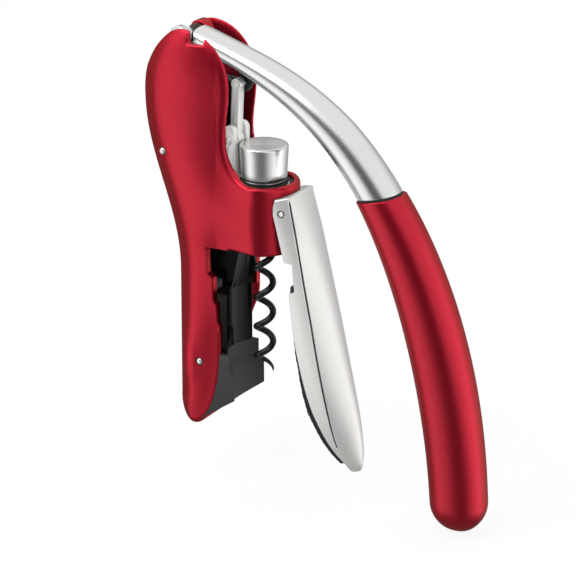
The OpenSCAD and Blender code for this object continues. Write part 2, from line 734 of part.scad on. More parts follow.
module clamp_handle() {
    color("gainsboro")
        difference() {
            in_clamp()
                difference() {
                    intersection() {
                        clamp_form(0, handle_top + 1, -130);
                        slab(-20, 20)
                            polygon(concat([[30, handle_top], [-1.7, handle_top]], clamp_back,
                                [[0.6, -130], [30, -130]]));
                    }
                    clamp_form(clamp_t, handle_top - clamp_t, -119);
                }
            rod(hinge, hinge_d / 2 + FIT, -20, 20);
            neck_cut(neck_r + 0.3);
            translate([0, 0, hinge[1] - 8])
                intersection() {
                    cylinder(r = collar_r + RUN + 0.4, h = 30);
                    translate([0, -handle_half + clamp_t - RUN, 0])
                        cube([40, 2 * (handle_half - clamp_t + RUN), 20]);
                }
        }
}

module clamp_pad() {
    color("black")
        difference() {
            in_clamp()
                intersection() {
                    clamp_form(clamp_t + EPS, 0, -119);
                    slab(-20, 20)
                        polygon(concat([[30, -31.6], [-4.9, -32.3], [-5.3, -36]],
                            [for (i = [8 : 17]) clamp_back[i] - [mix(0.2, 3.5, min(1, (i - 8) / 5)), 0.6]],
                            [[30, -119]]));
                }
            neck_cut(neck_r + 0.1);
        }
}

module clamp_hinge_pin() {
    color("silver")
        rod(hinge, hinge_d / 2, -handle_half + 1.2, handle_half - 1.2);
}

// Spring that holds the handle open: a coil from the collar's front to the handle's inside, with straight ends
spring_wire_r = 0.4;
spring_r = 2.4;
spring_turns = 4;
spring_drop = 12.5;
spring_z = hinge[1] - spring_drop;
spring_x0 = collar_r + EPS;
handle_in = clamp_face(-spring_drop) - clamp_t;
spring_x1 = hinge[0] + handle_in * cos(clamp_open) + spring_drop * sin(clamp_open) - 0.3;
spring_lead = 0.8;
spring_bend = 1.2;
spring_len = spring_x1 - spring_x0;
spring_rate = 360 * spring_turns / (spring_len - 2 * spring_lead - spring_bend);
function bend_part(d) = d <= 0 ? 0 : d < spring_bend ? d * d / spring_bend / 2 : d - spring_bend / 2;
function spring_angle(x) = spring_rate * (bend_part(x - spring_lead)
    - bend_part(x - spring_len + spring_lead + spring_bend));
function spring_mid(x) = let (a = spring_angle(x))
    [spring_x0 + x, spring_r * cos(a), spring_z + spring_r * sin(a)];
function spring_ring(x) = let (a = spring_angle(x), d = unit(spring_mid(x + 0.01) - spring_mid(x - 0.01)),
        u = [0, cos(a), sin(a)], v = cross(d, u))
    [for (i = [0 : 5]) spring_mid(x) + spring_wire_r * (cos(60 * i) * u - sin(60 * i) * v)];
module clamp_spring() {
    color("silver")
        loft([for (i = [0 : 64]) spring_ring(spring_len * i / 64)]);
}
echo(spring_least_self_gap = 360 / spring_rate - 2 * spring_wire_r);

housing();
collar_bush();
worm_guide();
drive_peg();
guide_rail_left();
guide_rail_right();
neck_liner();
neck_jaw();
upper_cross_pin();
lower_cross_pin();
pivot_pin();
pivot_spacer();
pivot_boss();
hinge_bracket();
clamp_hinge_pin();
clamp_spring();
lever_arm();
lug_plates();
pivot_bush();
arm_rivets();
grip_tang();
seal_ring();
lever_grip();
link_bar();
link_upper_pin();
carriage();
carriage_shoes();
link_lower_pin();
thrust_washer();
worm();
worm_shank();
knob();
knob_ring();
clamp_handle();
clamp_pad();
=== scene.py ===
# Vertical lever corkscrew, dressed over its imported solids. X runs forward to the lever, Y across and Z up
# along the worm. Numbers are millimetres and degrees, and become metres where a mesh is made.
from math import acos, atan2, ceil, cos, hypot, pi, radians, sin, sqrt

import bmesh
import bpy
import numpy as np
from mathutils import Matrix, Vector, kdtree


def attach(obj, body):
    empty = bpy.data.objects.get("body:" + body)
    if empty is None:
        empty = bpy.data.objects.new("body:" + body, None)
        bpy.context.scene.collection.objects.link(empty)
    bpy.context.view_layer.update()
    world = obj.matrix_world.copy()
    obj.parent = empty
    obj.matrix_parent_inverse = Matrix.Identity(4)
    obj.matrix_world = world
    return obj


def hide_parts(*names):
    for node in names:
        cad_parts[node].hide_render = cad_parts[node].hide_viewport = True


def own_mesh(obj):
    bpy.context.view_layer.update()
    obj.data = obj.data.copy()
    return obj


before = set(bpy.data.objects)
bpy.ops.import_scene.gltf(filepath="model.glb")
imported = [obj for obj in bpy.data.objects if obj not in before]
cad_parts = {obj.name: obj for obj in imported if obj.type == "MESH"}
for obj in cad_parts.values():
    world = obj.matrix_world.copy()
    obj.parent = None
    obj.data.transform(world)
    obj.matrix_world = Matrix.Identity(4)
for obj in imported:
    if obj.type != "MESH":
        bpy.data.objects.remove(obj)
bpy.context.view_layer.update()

# -------------------------------- Housing
# One zinc die casting: two cheeks, the collar round the worm and the spine that runs down behind it. It is
# trimmed, its edges are broken to half a millimetre, and it is sprayed satin metallic red and baked.
MM = 0.001
half_w, collar_r, bore_r = 15.5, 15.6, 12.7
gap_half, channel_half = 10.5, 12.6
collar_top, collar_foot, rim_r, foot_r = 52.0, 21.5, 1.8, 1.4
head_top, head_back, cheek_front, waist_depth = 116.0, 55.6, 10.5, 12.5
spine_back, spine_foot, back_wall = 38.9, 66.7, 5.0
crown_x, front_bulge_z, back_bulge_z, waist_z, spine_top_z = -32.5, 93, 84, 70.5, 8
foot_x, edge_x, edge_z, far_edge_x, rise_x = -31.5, -15.5, -24, -10.4, 2
pivot, upper_pin, lower_pin = (-36, 111.4), (-43.2, 60.9), (-25.6, -34.2)
liner_foot, bell_z, lip_r = -29.0, -2.0, 16.7
hinge = (15.5, 41.9)
cross_pin_r, pivot_r, pivot_reach = 1.45, 2.25, 11.3
OUTLINE_FINE, LAYERS_EACH_SIDE = 4, 26
HOUSING_VOXEL = 0.5


def mix(a, b, f):
    return a + (b - a) * f


def clip(f):
    return max(0, min(1, f))


def linear(code):
    parts = [int(code[i:i + 2], 16) / 255 for i in (1, 3, 5)]
    return tuple(c / 12.92 if c <= 0.04045 else ((c + 0.055) / 1.055) ** 2.4 for c in parts) + (1.0,)


def add(tree, kind, feeds=None, **settings):
    node = tree.nodes.new(kind)
    for name, value in settings.items():
        setattr(node, name, value)
    for socket, value in (feeds or {}).items():
        if isinstance(value, bpy.types.NodeSocket):
            tree.links.new(value, node.inputs[socket])
        else:
            node.inputs[socket].default_value = value
    return node


def finish(name, tones, rough, grain, relief, stretch=(1, 1, 1), **sockets):
    """A finish of two close tones, a range of roughness and a fine relief, from one grain in millimetres."""
    material = bpy.data.materials.new(name)
    material.use_nodes = True
    tree = material.node_tree
    shader = tree.nodes["Principled BSDF"]
    for socket, value in sockets.items():
        shader.inputs[socket.replace("_", " ")].default_value = value
    where = add(tree, "ShaderNodeTexCoord").outputs["Object"]
    drawn = add(tree, "ShaderNodeMapping", {"Vector": where, "Scale": [s / (grain * MM) for s in stretch]})
    noise = add(tree, "ShaderNodeTexNoise", {"Vector": drawn.outputs[0], "Scale": 1.0, "Detail": 3.0})
    noise = noise.outputs[0]
    tone = add(tree, "ShaderNodeMix", {0: noise, 6: linear(tones[0]), 7: linear(tones[1])},
               data_type="RGBA")
    gloss = add(tree, "ShaderNodeMapRange", {"Value": noise, "From Min": 0.3, "From Max": 0.7,
                                             "To Min": rough[0], "To Max": rough[1]})
    bump = add(tree, "ShaderNodeBump", {"Height": noise, "Strength": 1.0, "Distance": relief * MM})
    tree.links.new(tone.outputs[2], shader.inputs["Base Color"])
    tree.links.new(gloss.outputs[0], shader.inputs["Roughness"])
    tree.links.new(bump.outputs[0], shader.inputs["Normal"])
    return material


def solid(name, points, faces):
    mesh = bpy.data.meshes.new(name)
    mesh.from_pydata([Vector(p) * MM for p in points], [], faces)
    shape = bmesh.new()
    shape.from_mesh(mesh)
    bmesh.ops.recalc_face_normals(shape, faces=shape.faces)
    shape.to_mesh(mesh)
    shape.free()
    obj = bpy.data.objects.new(name, mesh)
    bpy.context.scene.collection.objects.link(obj)
    return obj


def skin(rings):
    """Points and faces of a closed skin over rings of equal length, filled at both ends."""
    n, m = len(rings[0]), len(rings)
    faces = [(i * n + j, i * n + (j + 1) % n, (i + 1) * n + (j + 1) % n, (i + 1) * n + j)
             for i in range(m - 1) for j in range(n)]
    ends = [tuple(range(n)), tuple((m - 1) * n + j for j in range(n))]
    return [p for r in rings for p in r], faces + ends


def prism(outline, y0, y1):
    return solid("prism", *skin([[(x, y, z) for x, z in outline] for y in (y0, y1)]))


def rod(place, r, y0, y1, sides=48):
    turns = [2 * pi * i / sides for i in range(sides)]
    return prism([(place[0] + r * cos(a), place[1] + r * sin(a)) for a in turns], y0, y1)


def drum(r, z0, z1, sides=128):
    turns = [2 * pi * i / sides for i in range(sides)]
    return solid("drum", *skin([[(r * cos(a), r * sin(a), z) for a in turns] for z in (z0, z1)]))


def settle(obj):
    """Applies the object's modifiers to its own mesh."""
    mesh = bpy.data.meshes.new_from_object(obj.evaluated_get(bpy.context.evaluated_depsgraph_get()))
    obj.modifiers.clear()
    old, obj.data = obj.data, mesh
    bpy.data.meshes.remove(old)


def cut(obj, cutters, how="DIFFERENCE"):
    for cutter in cutters:
        step = obj.modifiers.new("cut", "BOOLEAN")
        step.operation, step.solver, step.object = how, "EXACT", cutter
        settle(obj)
        bpy.data.objects.remove(cutter)


def soften(obj, voxel, rounds):
    """Remeshes a cut shape evenly and eases its edges, as blasting and paint do."""
    step = obj.modifiers.new("even", "REMESH")
    step.mode, step.voxel_size = "VOXEL", voxel * MM
    step = obj.modifiers.new("ease", "SMOOTH")
    step.factor, step.iterations = 0.5, rounds
    settle(obj)


def fit(obj, name, material, body, slot, *nodes, sharp=38):
    """Names a piece, gives it its finish and lets it stand for its CAD nodes on their body."""
    obj.name = obj.data.name = name
    obj.data.materials.clear()
    obj.data.materials.append(material)
    obj.data.shade_smooth()
    obj.data.set_sharp_from_angle(angle=radians(sharp))
    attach(obj, body)
    if nodes:
        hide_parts(*nodes)
    return obj


def arc(c, ab, a0, a1, n, e0, e1):
    n *= OUTLINE_FINE
    turns = [(i / n, radians(mix(a0, a1, i / n))) for i in range(n)]
    return [(c[0] + ab[0] * cos(a), c[1] + ab[1] * sin(a), mix(e0[0], e1[0], f), mix(e0[1], e1[1], f))
            for f, a in turns]


def wave(p, q, n, e0, e1):
    n *= OUTLINE_FINE
    return [(mix(p[0], q[0], (1 - cos(pi * i / n)) / 2), mix(p[1], q[1], i / n),
             mix(e0[0], e1[0], i / n), mix(e0[1], e1[1], i / n)) for i in range(n)]


# Side outline of the casting, each point with the depth and width of the rounding towards its cheek
soft, rim = (0.9, 1.2), (rim_r - 0.3, rim_r)
cheek_edge, crown_edge, nape_edge, back_edge, foot_edge = (4.5, 4.5), (6, 2.4), (8, 7.5), (12, 11), (3, 8)
crown_dip, dip_from, dip_reach = 1.6, 98, 12
back_arc = (crown_x, back_bulge_z), (crown_x + head_back, head_top - back_bulge_z)
foot_arc = (foot_x, edge_z), (edge_x - foot_x, spine_foot + edge_z)
outline = (
    arc((collar_r - foot_r, collar_foot + foot_r), (foot_r, foot_r), -90, 0, 3, soft, soft)
    + arc((collar_r - rim_r, collar_top - rim_r), (rim_r, rim_r), 0, 90, 4, rim, rim)
    + [(collar_r - rim_r, collar_top, *rim), (11, collar_top, *rim), (rise_x + 5, collar_top, *rim)]
    + arc((rise_x, waist_z), (rise_x + waist_depth, waist_z - collar_top), 270, 180, 9, rim, (3.5, 3.5))
    + wave((-waist_depth, waist_z), (-cheek_front, front_bulge_z), 6, (3.5, 3.5), cheek_edge)
    + arc((crown_x, front_bulge_z), (-cheek_front - crown_x, head_top - front_bulge_z), 0, 90, 10,
          cheek_edge, crown_edge)
    + arc(*back_arc, 90, 120, 4, crown_edge, nape_edge)
    + arc(*back_arc, 120, 180, 7, nape_edge, back_edge)
    + wave((-head_back, back_bulge_z), (-spine_back, spine_top_z), 12, back_edge, back_edge)
    + [(-spine_back, mix(spine_top_z, -22, i / 6), mix(12, 11, i / 6), mix(11, 10.5, i / 6))
       for i in range(7)]
    + arc((foot_x, -52), (spine_back + foot_x, spine_foot - 52), 180, 270, 7, (10, 10), foot_edge)
    + arc(*foot_arc, 270, 315, 6, foot_edge, soft)
    + arc(*foot_arc, 315, 360, 6, soft, soft)
    + wave((edge_x, edge_z), (far_edge_x, -4), 5, soft, soft)
    + [(far_edge_x, mix(-4, collar_foot - 1.5, i / 6), *soft) for i in range(6)]
    + arc((far_edge_x + 1.5, collar_foot - 1.5), (1.5, 1.5), 180, 90, 3, soft, soft)
    + [(mix(far_edge_x + 1.5, collar_r - foot_r, i / 6), collar_foot, *soft) for i in range(6)])


def casting_point(i, y):
    x, z, depth, width = outline[i]
    p, q = outline[i - 1], outline[(i + 1) % len(outline)]
    away = Vector((q[1] - p[1], p[0] - q[0])).normalized()
    t = max(0, (abs(y) - half_w + width) / width)
    inside = clip((half_w - crown_edge[1] - abs(y)) / (half_w - gap_half - crown_edge[1]))
    dip = crown_dip * clip((z - dip_from) / dip_reach) * (1 - sqrt(1 - inside ** 2))
    d = depth * (1 - sqrt(max(0, 1 - t * t))) + dip
    if x > 0:
        return x * sqrt(1 - (y / collar_r) ** 2), y, z - d * away[1]
    return x - d * away[0], y, z - d * away[1]


def inner_back(z):
    share = (1 - cos(pi * (min(z, back_bulge_z) - spine_top_z) / (back_bulge_z - spine_top_z))) / 2
    return back_wall - mix(spine_back, head_back, share) + max(0, z - back_bulge_z) / 4


steps = range(-LAYERS_EACH_SIDE, LAYERS_EACH_SIDE + 1)
layers = [half_w * sin(pi / 2 * k / LAYERS_EACH_SIDE) for k in steps]
housing = solid("housing", *skin([[casting_point(i, y) for i in range(len(outline))] for y in layers]))
cavity_foot, gap_front, channel_back = -spine_foot + 4.4, -8, -spine_back + back_wall
out_x, out_y, out_z = 40, half_w + 5, head_top + 20
gap = ([(out_x, out_z), (-49, out_z)] + [(inner_back(z), z) for z in range(98, spine_top_z - 1, -5)]
       + [(channel_back, 0), (gap_front, 0), (gap_front, collar_top + 0.3), (out_x, collar_top + 0.3)])
beside_liner = [(channel_back, collar_foot - 0.4), (channel_back, liner_foot - 0.1),
                (out_x, liner_foot - 0.1), (out_x, collar_foot - 0.4)]
beside_jaw = [(channel_back, liner_foot), (channel_back, cavity_foot), (out_x, cavity_foot),
              (out_x, liner_foot)]
window_top, window_front = collar_foot - 0.6, far_edge_x + 2.4
window = [(window_front, window_top), (-20.7, window_top), (-20.7, 9.2), (-17.9, 6.8), (-17.9, -4),
          (-16.4, -5.6), (-16.4, -14.4), (-15.5, -15.6), (-15.3, -21), (window_front, -21)]
notch = [(-29.5, 110.2), (-22, 110.2), (-22, out_z), (-29.5, out_z)]
pin_hole = cross_pin_r + 0.35
cut(housing, [drum(bore_r, 15, collar_top + 3), prism(gap, -gap_half, gap_half),
              prism(beside_liner, -gap_half, gap_half), prism(beside_jaw, -channel_half, channel_half),
              drum(lip_r, liner_foot - 0.1, bell_z), prism(window, -out_y, 0), prism(notch, -out_y, 0),
              rod(pivot, pivot_r, -pivot_reach - 0.2, pivot_reach + 0.2),
              rod(upper_pin, pin_hole, -out_y, out_y), rod(lower_pin, pin_hole, -out_y, out_y)])
soften(housing, HOUSING_VOXEL, 3)
# The cheeks' outer faces are crowned: they fall away by up to CROWN over the last CROWN_REACH before the
# outline, eased along the mesh. The collar, in front of CROWN_FRONT, keeps its round.
CROWN, CROWN_REACH, CROWN_EASE = 3.4, 22.0, 120
CROWN_START, CROWN_FRONT, CROWN_FADE = gap_half + 0.3, 4, 20
edge_points = outline[::2]
near_edge = kdtree.KDTree(len(edge_points))
for i, point in enumerate(edge_points):
    near_edge.insert((point[0], point[1], 0), i)
near_edge.balance()
falls, ways = np.zeros(len(housing.data.vertices)), []
for vert in housing.data.vertices:
    x, y, z = vert.co / MM
    falls[vert.index] = max(0, 1 - near_edge.find((x, z, 0))[2] / CROWN_REACH) ** 2
    share = clip((abs(y) - CROWN_START) / (half_w - CROWN_START)) * clip((CROWN_FRONT - x) / CROWN_FADE)
    ways.append(-CROWN * share if y > 0 else CROWN * share)
ends = np.empty(2 * len(housing.data.edges), dtype=np.int32)
housing.data.edges.foreach_get("vertices", ends)
starts, stops = ends[::2], ends[1::2]
shared = np.bincount(ends, minlength=len(falls))
for _ in range(CROWN_EASE):
    around = np.bincount(starts, falls[stops], len(falls)) + np.bincount(stops, falls[starts], len(falls))
    falls = around / shared
for vert in housing.data.vertices:
    vert.co.y += ways[vert.index] * falls[vert.index] * MM
# Baked satin enamel with fine metal flake: soft broad highlights that stay red, darker where nothing bright
# is mirrored. The flake is about 0.1 mm and is drawn at 0.5 mm so that it shows.
red_enamel = finish("red_satin_metallic_enamel_baked_on_zinc", ("#ad0b25", "#b90f2c"), (0.32, 0.38), 0.5,
                    0.003, Metallic=0.96, Coat_Weight=0.4, Coat_Roughness=0.3, Coat_IOR=1.5,
                    Specular_Tint=linear("#c21830"))
fit(housing, "housing_casting", red_enamel, "frame", "red_paint", "housing")
# Painted shade on the inside walls between the cheeks: a darker, duller copy of the red where shade falls in
# the gap, grain as outside.
red_enamel_painted_shade = finish("red_enamel_painted_shade_inside_casting", ("#6e0515", "#7c081b"), (0.5, 0.6), 0.5, 0.004,
                  Metallic=0.9)
housing.data.materials.append(red_enamel_painted_shade)
# Faces between the cheeks, above the collar, that face inwards take this painted shade
INSIDE_REACH, INSIDE_FACING = gap_half + 0.5, 0.5
for face in housing.data.polygons:
    x, y, z = face.center / MM
    facing_in = face.normal[1] * y < -INSIDE_FACING * abs(y)
    if facing_in and abs(y) < INSIDE_REACH and z > collar_top and x < gap_front:
        face.material_index = 1
# Satin metal near the red pieces shows only the studio's light, so these stay out of mirrored rays
housing.visible_glossy = False

# -------------------------------- Collar bush, guide and rails
# Black nylon mouldings pressed into the casting: the bush that the carriage slides in, the guide that starts
# the worm straight with its steel drive peg, and the two grooved rails inside the cheeks.
BUSH_EDGE = 0.35


def trimmed(node, edge, angle=35):
    """A copy of a CAD node with its flat faces joined and its sharp edges broken."""
    obj = bpy.data.objects.new(node + "_trimmed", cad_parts[node].data.copy())
    bpy.context.scene.collection.objects.link(obj)
    shape = bmesh.new()
    shape.from_mesh(obj.data)
    bmesh.ops.remove_doubles(shape, verts=shape.verts, dist=1e-6)
    bmesh.ops.dissolve_limit(shape, angle_limit=radians(1.5), verts=shape.verts, edges=shape.edges)
    shape.to_mesh(obj.data)
    shape.free()
    step = obj.modifiers.new("break", "BEVEL")
    step.width, step.segments, step.limit_method, step.angle_limit = edge * MM, 2, "ANGLE", radians(angle)
    settle(obj)
    return obj


def coat(material, *nodes):
    for node in nodes:
        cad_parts[node].data.materials.clear()
        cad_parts[node].data.materials.append(material)


# Moulded nylon: near black with a dull sheen and the faint bloom of a spark-eroded mould, about 0.3 mm.
black_nylon = finish("black_nylon_moulded", ("#0c0c0d", "#161617"), (0.5, 0.62), 0.3, 0.006, IOR=1.53,
                     Specular_IOR_Level=0.2)
# Ground steel pins: bright grey with fine grinding lines about 0.05 mm apart, drawn at 0.25 mm so that they
# show.
ground_steel = finish("steel_pin_ground", ("#cccccc", "#dfdfde"), (0.22, 0.32), 0.25, 0.001, (1, 0.1, 1),
                      Metallic=1.0)
fit(trimmed("collar_bush", BUSH_EDGE), "collar_bush_ring", black_nylon, "frame", "black_nylon",
    "collar_bush")
coat(black_nylon, "worm_guide", "guide_rail_left", "guide_rail_right")
coat(ground_steel, "drive_peg")

# -------------------------------- Neck liner and jaw
# The liner is a glossy black nylon moulding that centres the work under the worm. Below it sits the jaw, a
# dark grey rubber block with a round hollow. Both are held by the lower cross pin.
LINER_EDGE, JAW_EDGE = 0.45, 0.6
# Polished mould: black and mirror-like, with only a trace of waviness about 3 mm long.
gloss_nylon = finish("black_nylon_polished_mould", ("#050506", "#0a0a0b"), (0.10, 0.15), 3.0, 0.003,
                     IOR=1.53, Specular_IOR_Level=0.14)
# Moulded rubber: dull dark grey with a fine matt grain, about 0.25 mm.
grey_rubber = finish("dark_grey_rubber_moulded", ("#232425", "#303132"), (0.62, 0.75), 0.25, 0.012,
                     IOR=1.52)
fit(trimmed("neck_liner", LINER_EDGE), "neck_liner_gloss", gloss_nylon, "frame", "black_nylon",
    "neck_liner")
fit(trimmed("neck_jaw", JAW_EDGE), "neck_jaw_block", grey_rubber, "frame", "grey_rubber", "neck_jaw")

# -------------------------------- Cross pins
# Ground steel pins pressed across the housing. Their ends have a broken edge and lie flush with the crowned
# cheeks in slightly wider holes, so a dark ring shows round each.
upper_reach, lower_reach, pin_chamfer, pin_crown = half_w - 1.3, half_w - 0.9, 0.25, 0.15


def turned(name, profile, place, sides=72):
    """A turned shape from a closed profile of radius and height, laid along the place's own Z axis."""
    turns = [2 * pi * i / sides for i in range(sides)]
    profile = [(max(r, 0.001), h) for r, h in profile]
    rings = [[place @ Vector((r * cos(a), r * sin(a), h)) for r, h in profile] for a in turns]
    n = len(profile)
    faces = [(i * n + j, i * n + (j + 1) % n, (i + 1) % sides * n + (j + 1) % n, (i + 1) % sides * n + j)
             for i in range(sides) for j in range(n)]
    obj = solid(name, [p for r in rings for p in r], faces)
    shape = bmesh.new()
    shape.from_mesh(obj.data)
    bmesh.ops.remove_doubles(shape, verts=shape.verts, dist=5e-6)
    shape.to_mesh(obj.data)
    shape.free()
    return obj


def across(place):
    return Matrix.Translation((place[0], 0, place[1])) @ Matrix.Rotation(-pi / 2, 4, "X")


def pin_profile(r, reach, chamfer):
    half = [(0, reach), (r * 0.5, reach - pin_crown * 0.2), (r - chamfer, reach - pin_crown),
            (r, reach - pin_crown - chamfer)]
    return half + [(p, -h) for p, h in reversed(half)]


fit(turned("pin", pin_profile(cross_pin_r, upper_reach, pin_chamfer), across(upper_pin)),
    "upper_cross_pin_ground", ground_steel, "frame", "steel_pin", "upper_cross_pin")
fit(turned("pin", pin_profile(cross_pin_r, lower_reach, pin_chamfer), across(lower_pin)),
    "lower_cross_pin_ground", ground_steel, "frame", "steel_pin", "lower_cross_pin")

# -------------------------------- Lever pivot
# A steel pin in blind holes carries the lever. On the near side a turned steel spacer keeps the lug plates
# in the middle, on the far side a short boss of the casting does. A bronze bush runs on the pin between them.
barrel_r, plate_out, pin_bore = 4.8, 4.8, pivot_r + 0.05
# Turned steel: bright, with fine rings from the tool about 0.1 mm apart, drawn at 0.3 mm so that they show.
turned_steel = finish("steel_turned_bright", ("#bfc0c0", "#d9d9d8"), (0.22, 0.34), 0.3, 0.003, Metallic=1.0)
# Sintered bronze, soaked in oil: dark brown metal, slightly porous, pores about 0.15 mm.
sintered_bronze = finish("bronze_sintered", ("#3b2d1f", "#4a3926"), (0.4, 0.5), 0.15, 0.008, Metallic=1.0)
spacer_end, spacer_start = gap_half - 0.05, plate_out + 0.3
spacer = [(pin_bore, -spacer_end), (barrel_r - 0.4, -spacer_end), (barrel_r, -spacer_end + 0.4),
          (barrel_r, -spacer_start - 0.9), (barrel_r - 0.3, -spacer_start - 0.75),
          (barrel_r - 0.3, -spacer_start - 0.55), (barrel_r, -spacer_start - 0.4),
          (barrel_r - 0.3, -spacer_start), (pin_bore, -spacer_start)]
fit(turned("spacer", spacer, across(pivot)), "pivot_spacer_turned", turned_steel, "frame", "turned_steel",
    "pivot_spacer")
boss = [(pin_bore, spacer_start), (barrel_r - 0.9, spacer_start), (barrel_r - 0.4, spacer_start + 0.5),
        (barrel_r - 0.4, spacer_end), (pin_bore, spacer_end)]
fit(turned("boss", boss, across(pivot)), "pivot_boss_cast", red_enamel, "frame", "red_paint", "pivot_boss")
fit(turned("pin", pin_profile(pivot_r, pivot_reach, 0.3), across(pivot)), "pivot_pin_ground",
    ground_steel, "frame", "steel_pin", "pivot_pin")
coat(sintered_bronze, "pivot_bush")

# -------------------------------- Hinge bracket
# A small saddle, cast and enamelled like the housing and seated on the collar's front. It holds the middle
# of the clamp's hinge pin.
BRACKET_EDGE = 0.3
fit(trimmed("hinge_bracket", BRACKET_EDGE), "hinge_bracket_cast", red_enamel, "frame", "red_paint",
    "hinge_bracket")

# -------------------------------- Carriage
# A steel casting that slides in the collar bush and carries the worm. Two yoke ears take the link's lower
# pin, a tail runs between the rails on nylon shoes, and a hardened washer takes the worm's thrust.
CARRIAGE_EDGE = 1.0
# Barrel-plated steel: cloudy white zinc, half mirror and half matt, tumbling marks about 0.35 mm.
zinc_plate = finish("steel_barrel_zinc_plated", ("#f0f0ee", "#f7f7f5"), (0.34, 0.42), 0.35, 0.002,
                    Metallic=0.4)
fit(trimmed("carriage", CARRIAGE_EDGE), "carriage_block", zinc_plate, "carriage", "satin_steel",
    "carriage")
coat(black_nylon, "carriage_shoes")
coat(ground_steel, "thrust_washer")
link_foot, link_top, pin_r = (-14, 68), (-12.8, 92.3), 1.5
ear_out = 6.3
fit(turned("pin", pin_profile(pin_r, ear_out + 0.25, 0.3), across(link_foot)), "link_lower_pin_plated",
    zinc_plate, "carriage", "steel_pin", "link_lower_pin")

# -------------------------------- Link
# A forged steel bar with an eye at each end that pulls the carriage up. Its upper pin runs in the slot of the
# far lug plate. Both are zinc-plated like the carriage.
LINK_EDGE = 1.1
link_half = 2.2
fit(trimmed("link_bar", LINK_EDGE), "link_bar_forged", zinc_plate, "link", "satin_steel", "link_bar")
upper_end = [(0, plate_out), (pin_r - 0.3, plate_out - 0.05), (pin_r, plate_out - 0.35),
             (pin_r, -link_half), (0, -link_half)]
fit(turned("pin", upper_end, across(link_top)), "link_upper_pin_plated", zinc_plate, "link", "steel_pin",
    "link_upper_pin")

# -------------------------------- Lug plates
# Two stamped plates in the arm's pocket with the pivot's bore, blackened against rust and riveted to the arm.
# The far one also carries the slot that the link's upper pin runs in.
PLATE_EDGE = 0.35
# Blackened stamping: dark blue-grey oxide over steel, semi-matt, with a faint rolled grain about 0.4 mm.
black_oxide = finish("steel_stamped_black_oxide", ("#2b2c2e", "#3a3b3d"), (0.32, 0.42), 0.4, 0.003,
                     (1, 1, 0.3), Metallic=0.85)
fit(trimmed("lug_plates", PLATE_EDGE), "lug_plates_stamped", black_oxide, "lever", "black_steel",
    "lug_plates")
coat(ground_steel, "arm_rivets")

# -------------------------------- Lever arm
# A curved zinc casting, blasted and satin-chromed. It is slim at the pivot, round at the seam, and pocketed
# at its root for the lug plates.
ARM_RINGS, ARM_SIDES, ARM_BEYOND, ARM_EDGE, SEAM_GAP = 150, 72, 0.11, 0.3, 0.45
LINE = [(-32, 111.4), (12, 97.3), (51, 88.6), (91, 18), (97.5, -77)]
seam_t, seam_half, seam_tilt = 0.555, 9.1, 14
boss_r, lug_r, tongue_end = 3.3, 4.5, (-3, 101.5)
root_half, root_half_w, OVAL = 3.8, 7, 2.3
flat_depth, flat_reach = 1.3, 0.42


def between(points, t):
    points = [Vector(p) for p in points]
    while len(points) > 1:
        points = [a.lerp(b, t) for a, b in zip(points, points[1:])]
    return points[0]


def lever_at(t):
    return between(LINE, t)


def lever_dir(t):
    return between([Vector(b) - Vector(a) for a, b in zip(LINE, LINE[1:])], t).normalized()


def arm_p(t):
    return mix(root_half, seam_half - 0.2, clip(t / seam_t) ** 0.7)


def arm_q(t):
    return mix(root_half_w, seam_half - 0.3, clip(t / seam_t) ** 1.7)


def arm_flat(t):
    return flat_depth * sin(pi * min(1, (t / flat_reach) ** 0.8))


def lever_ring(c, d, p, q, sides, flat=0):
    """A rounded oval across the lever at c, p high and q wide to each side, its top lowered by flat."""
    ring = []
    for i in range(sides):
        u, v = cos(2 * pi * i / sides), sin(2 * pi * i / sides)
        g = (abs(u) ** OVAL + abs(v) ** OVAL) ** (-1 / OVAL)
        h = (p - flat / 2) * u * g - flat / 2
        ring.append((c[0] - d[1] * h, q * v * g, c[1] + d[0] * h))
    return ring


def seam_trim(obj, keep_below, shift, edge):
    """Cuts a lever piece at the seam's tilted plane and rounds the new rim."""
    normal = Vector((-sin(radians(seam_tilt)), 0, cos(radians(seam_tilt))))
    at = lever_at(seam_t)
    foot = (Vector((at[0], 0, at[1])) + normal * shift) * MM
    shape = bmesh.new()
    shape.from_mesh(obj.data)
    bmesh.ops.bisect_plane(shape, geom=shape.verts[:] + shape.edges[:] + shape.faces[:], plane_co=foot,
                           plane_no=normal, clear_outer=keep_below, clear_inner=not keep_below)
    loop = [e for e in shape.edges if e.is_boundary]
    bmesh.ops.edgeloop_fill(shape, edges=loop)
    bmesh.ops.recalc_face_normals(shape, faces=shape.faces)
    rim_edges = [e for e in loop if e.is_valid]
    bmesh.ops.bevel(shape, geom=rim_edges, offset=edge * MM, segments=3, profile=0.5, affect="EDGES")
    shape.to_mesh(obj.data)
    shape.free()


def bar_outline(p, r, q, s, n=24):
    """Outline of a tapered bar with two round ends."""
    d, a = hypot(q[0] - p[0], q[1] - p[1]), atan2(q[1] - p[1], q[0] - p[0])
    b = acos((r - s) / d)
    ends = [(p, r, a + b + (2 * pi - 2 * b) * i / n) for i in range(n + 1)]
    ends += [(q, s, a - b + 2 * b * i / n) for i in range(n + 1)]
    return [(c[0] + k * cos(w), c[1] + k * sin(w)) for c, k, w in ends]


ts = [(seam_t + ARM_BEYOND) * i / ARM_RINGS for i in range(ARM_RINGS + 1)]
arm = solid("arm", *skin([lever_ring(lever_at(t), lever_dir(t), arm_p(t), arm_q(t), ARM_SIDES, arm_flat(t))
                          for t in ts]))
seam_trim(arm, False, SEAM_GAP, ARM_EDGE)
pocket = plate_out + 0.05
bars = [bar_outline(pivot, boss_r + 0.4, link_top, lug_r + 0.4),
        bar_outline(pivot, boss_r + 0.4, tongue_end, 3.4), bar_outline(link_top, lug_r, tongue_end, 3.2)]
cut(arm, [prism(bar, -pocket, pocket) for bar in bars] + [rod(pivot, barrel_r + 0.6, -out_y, out_y)])
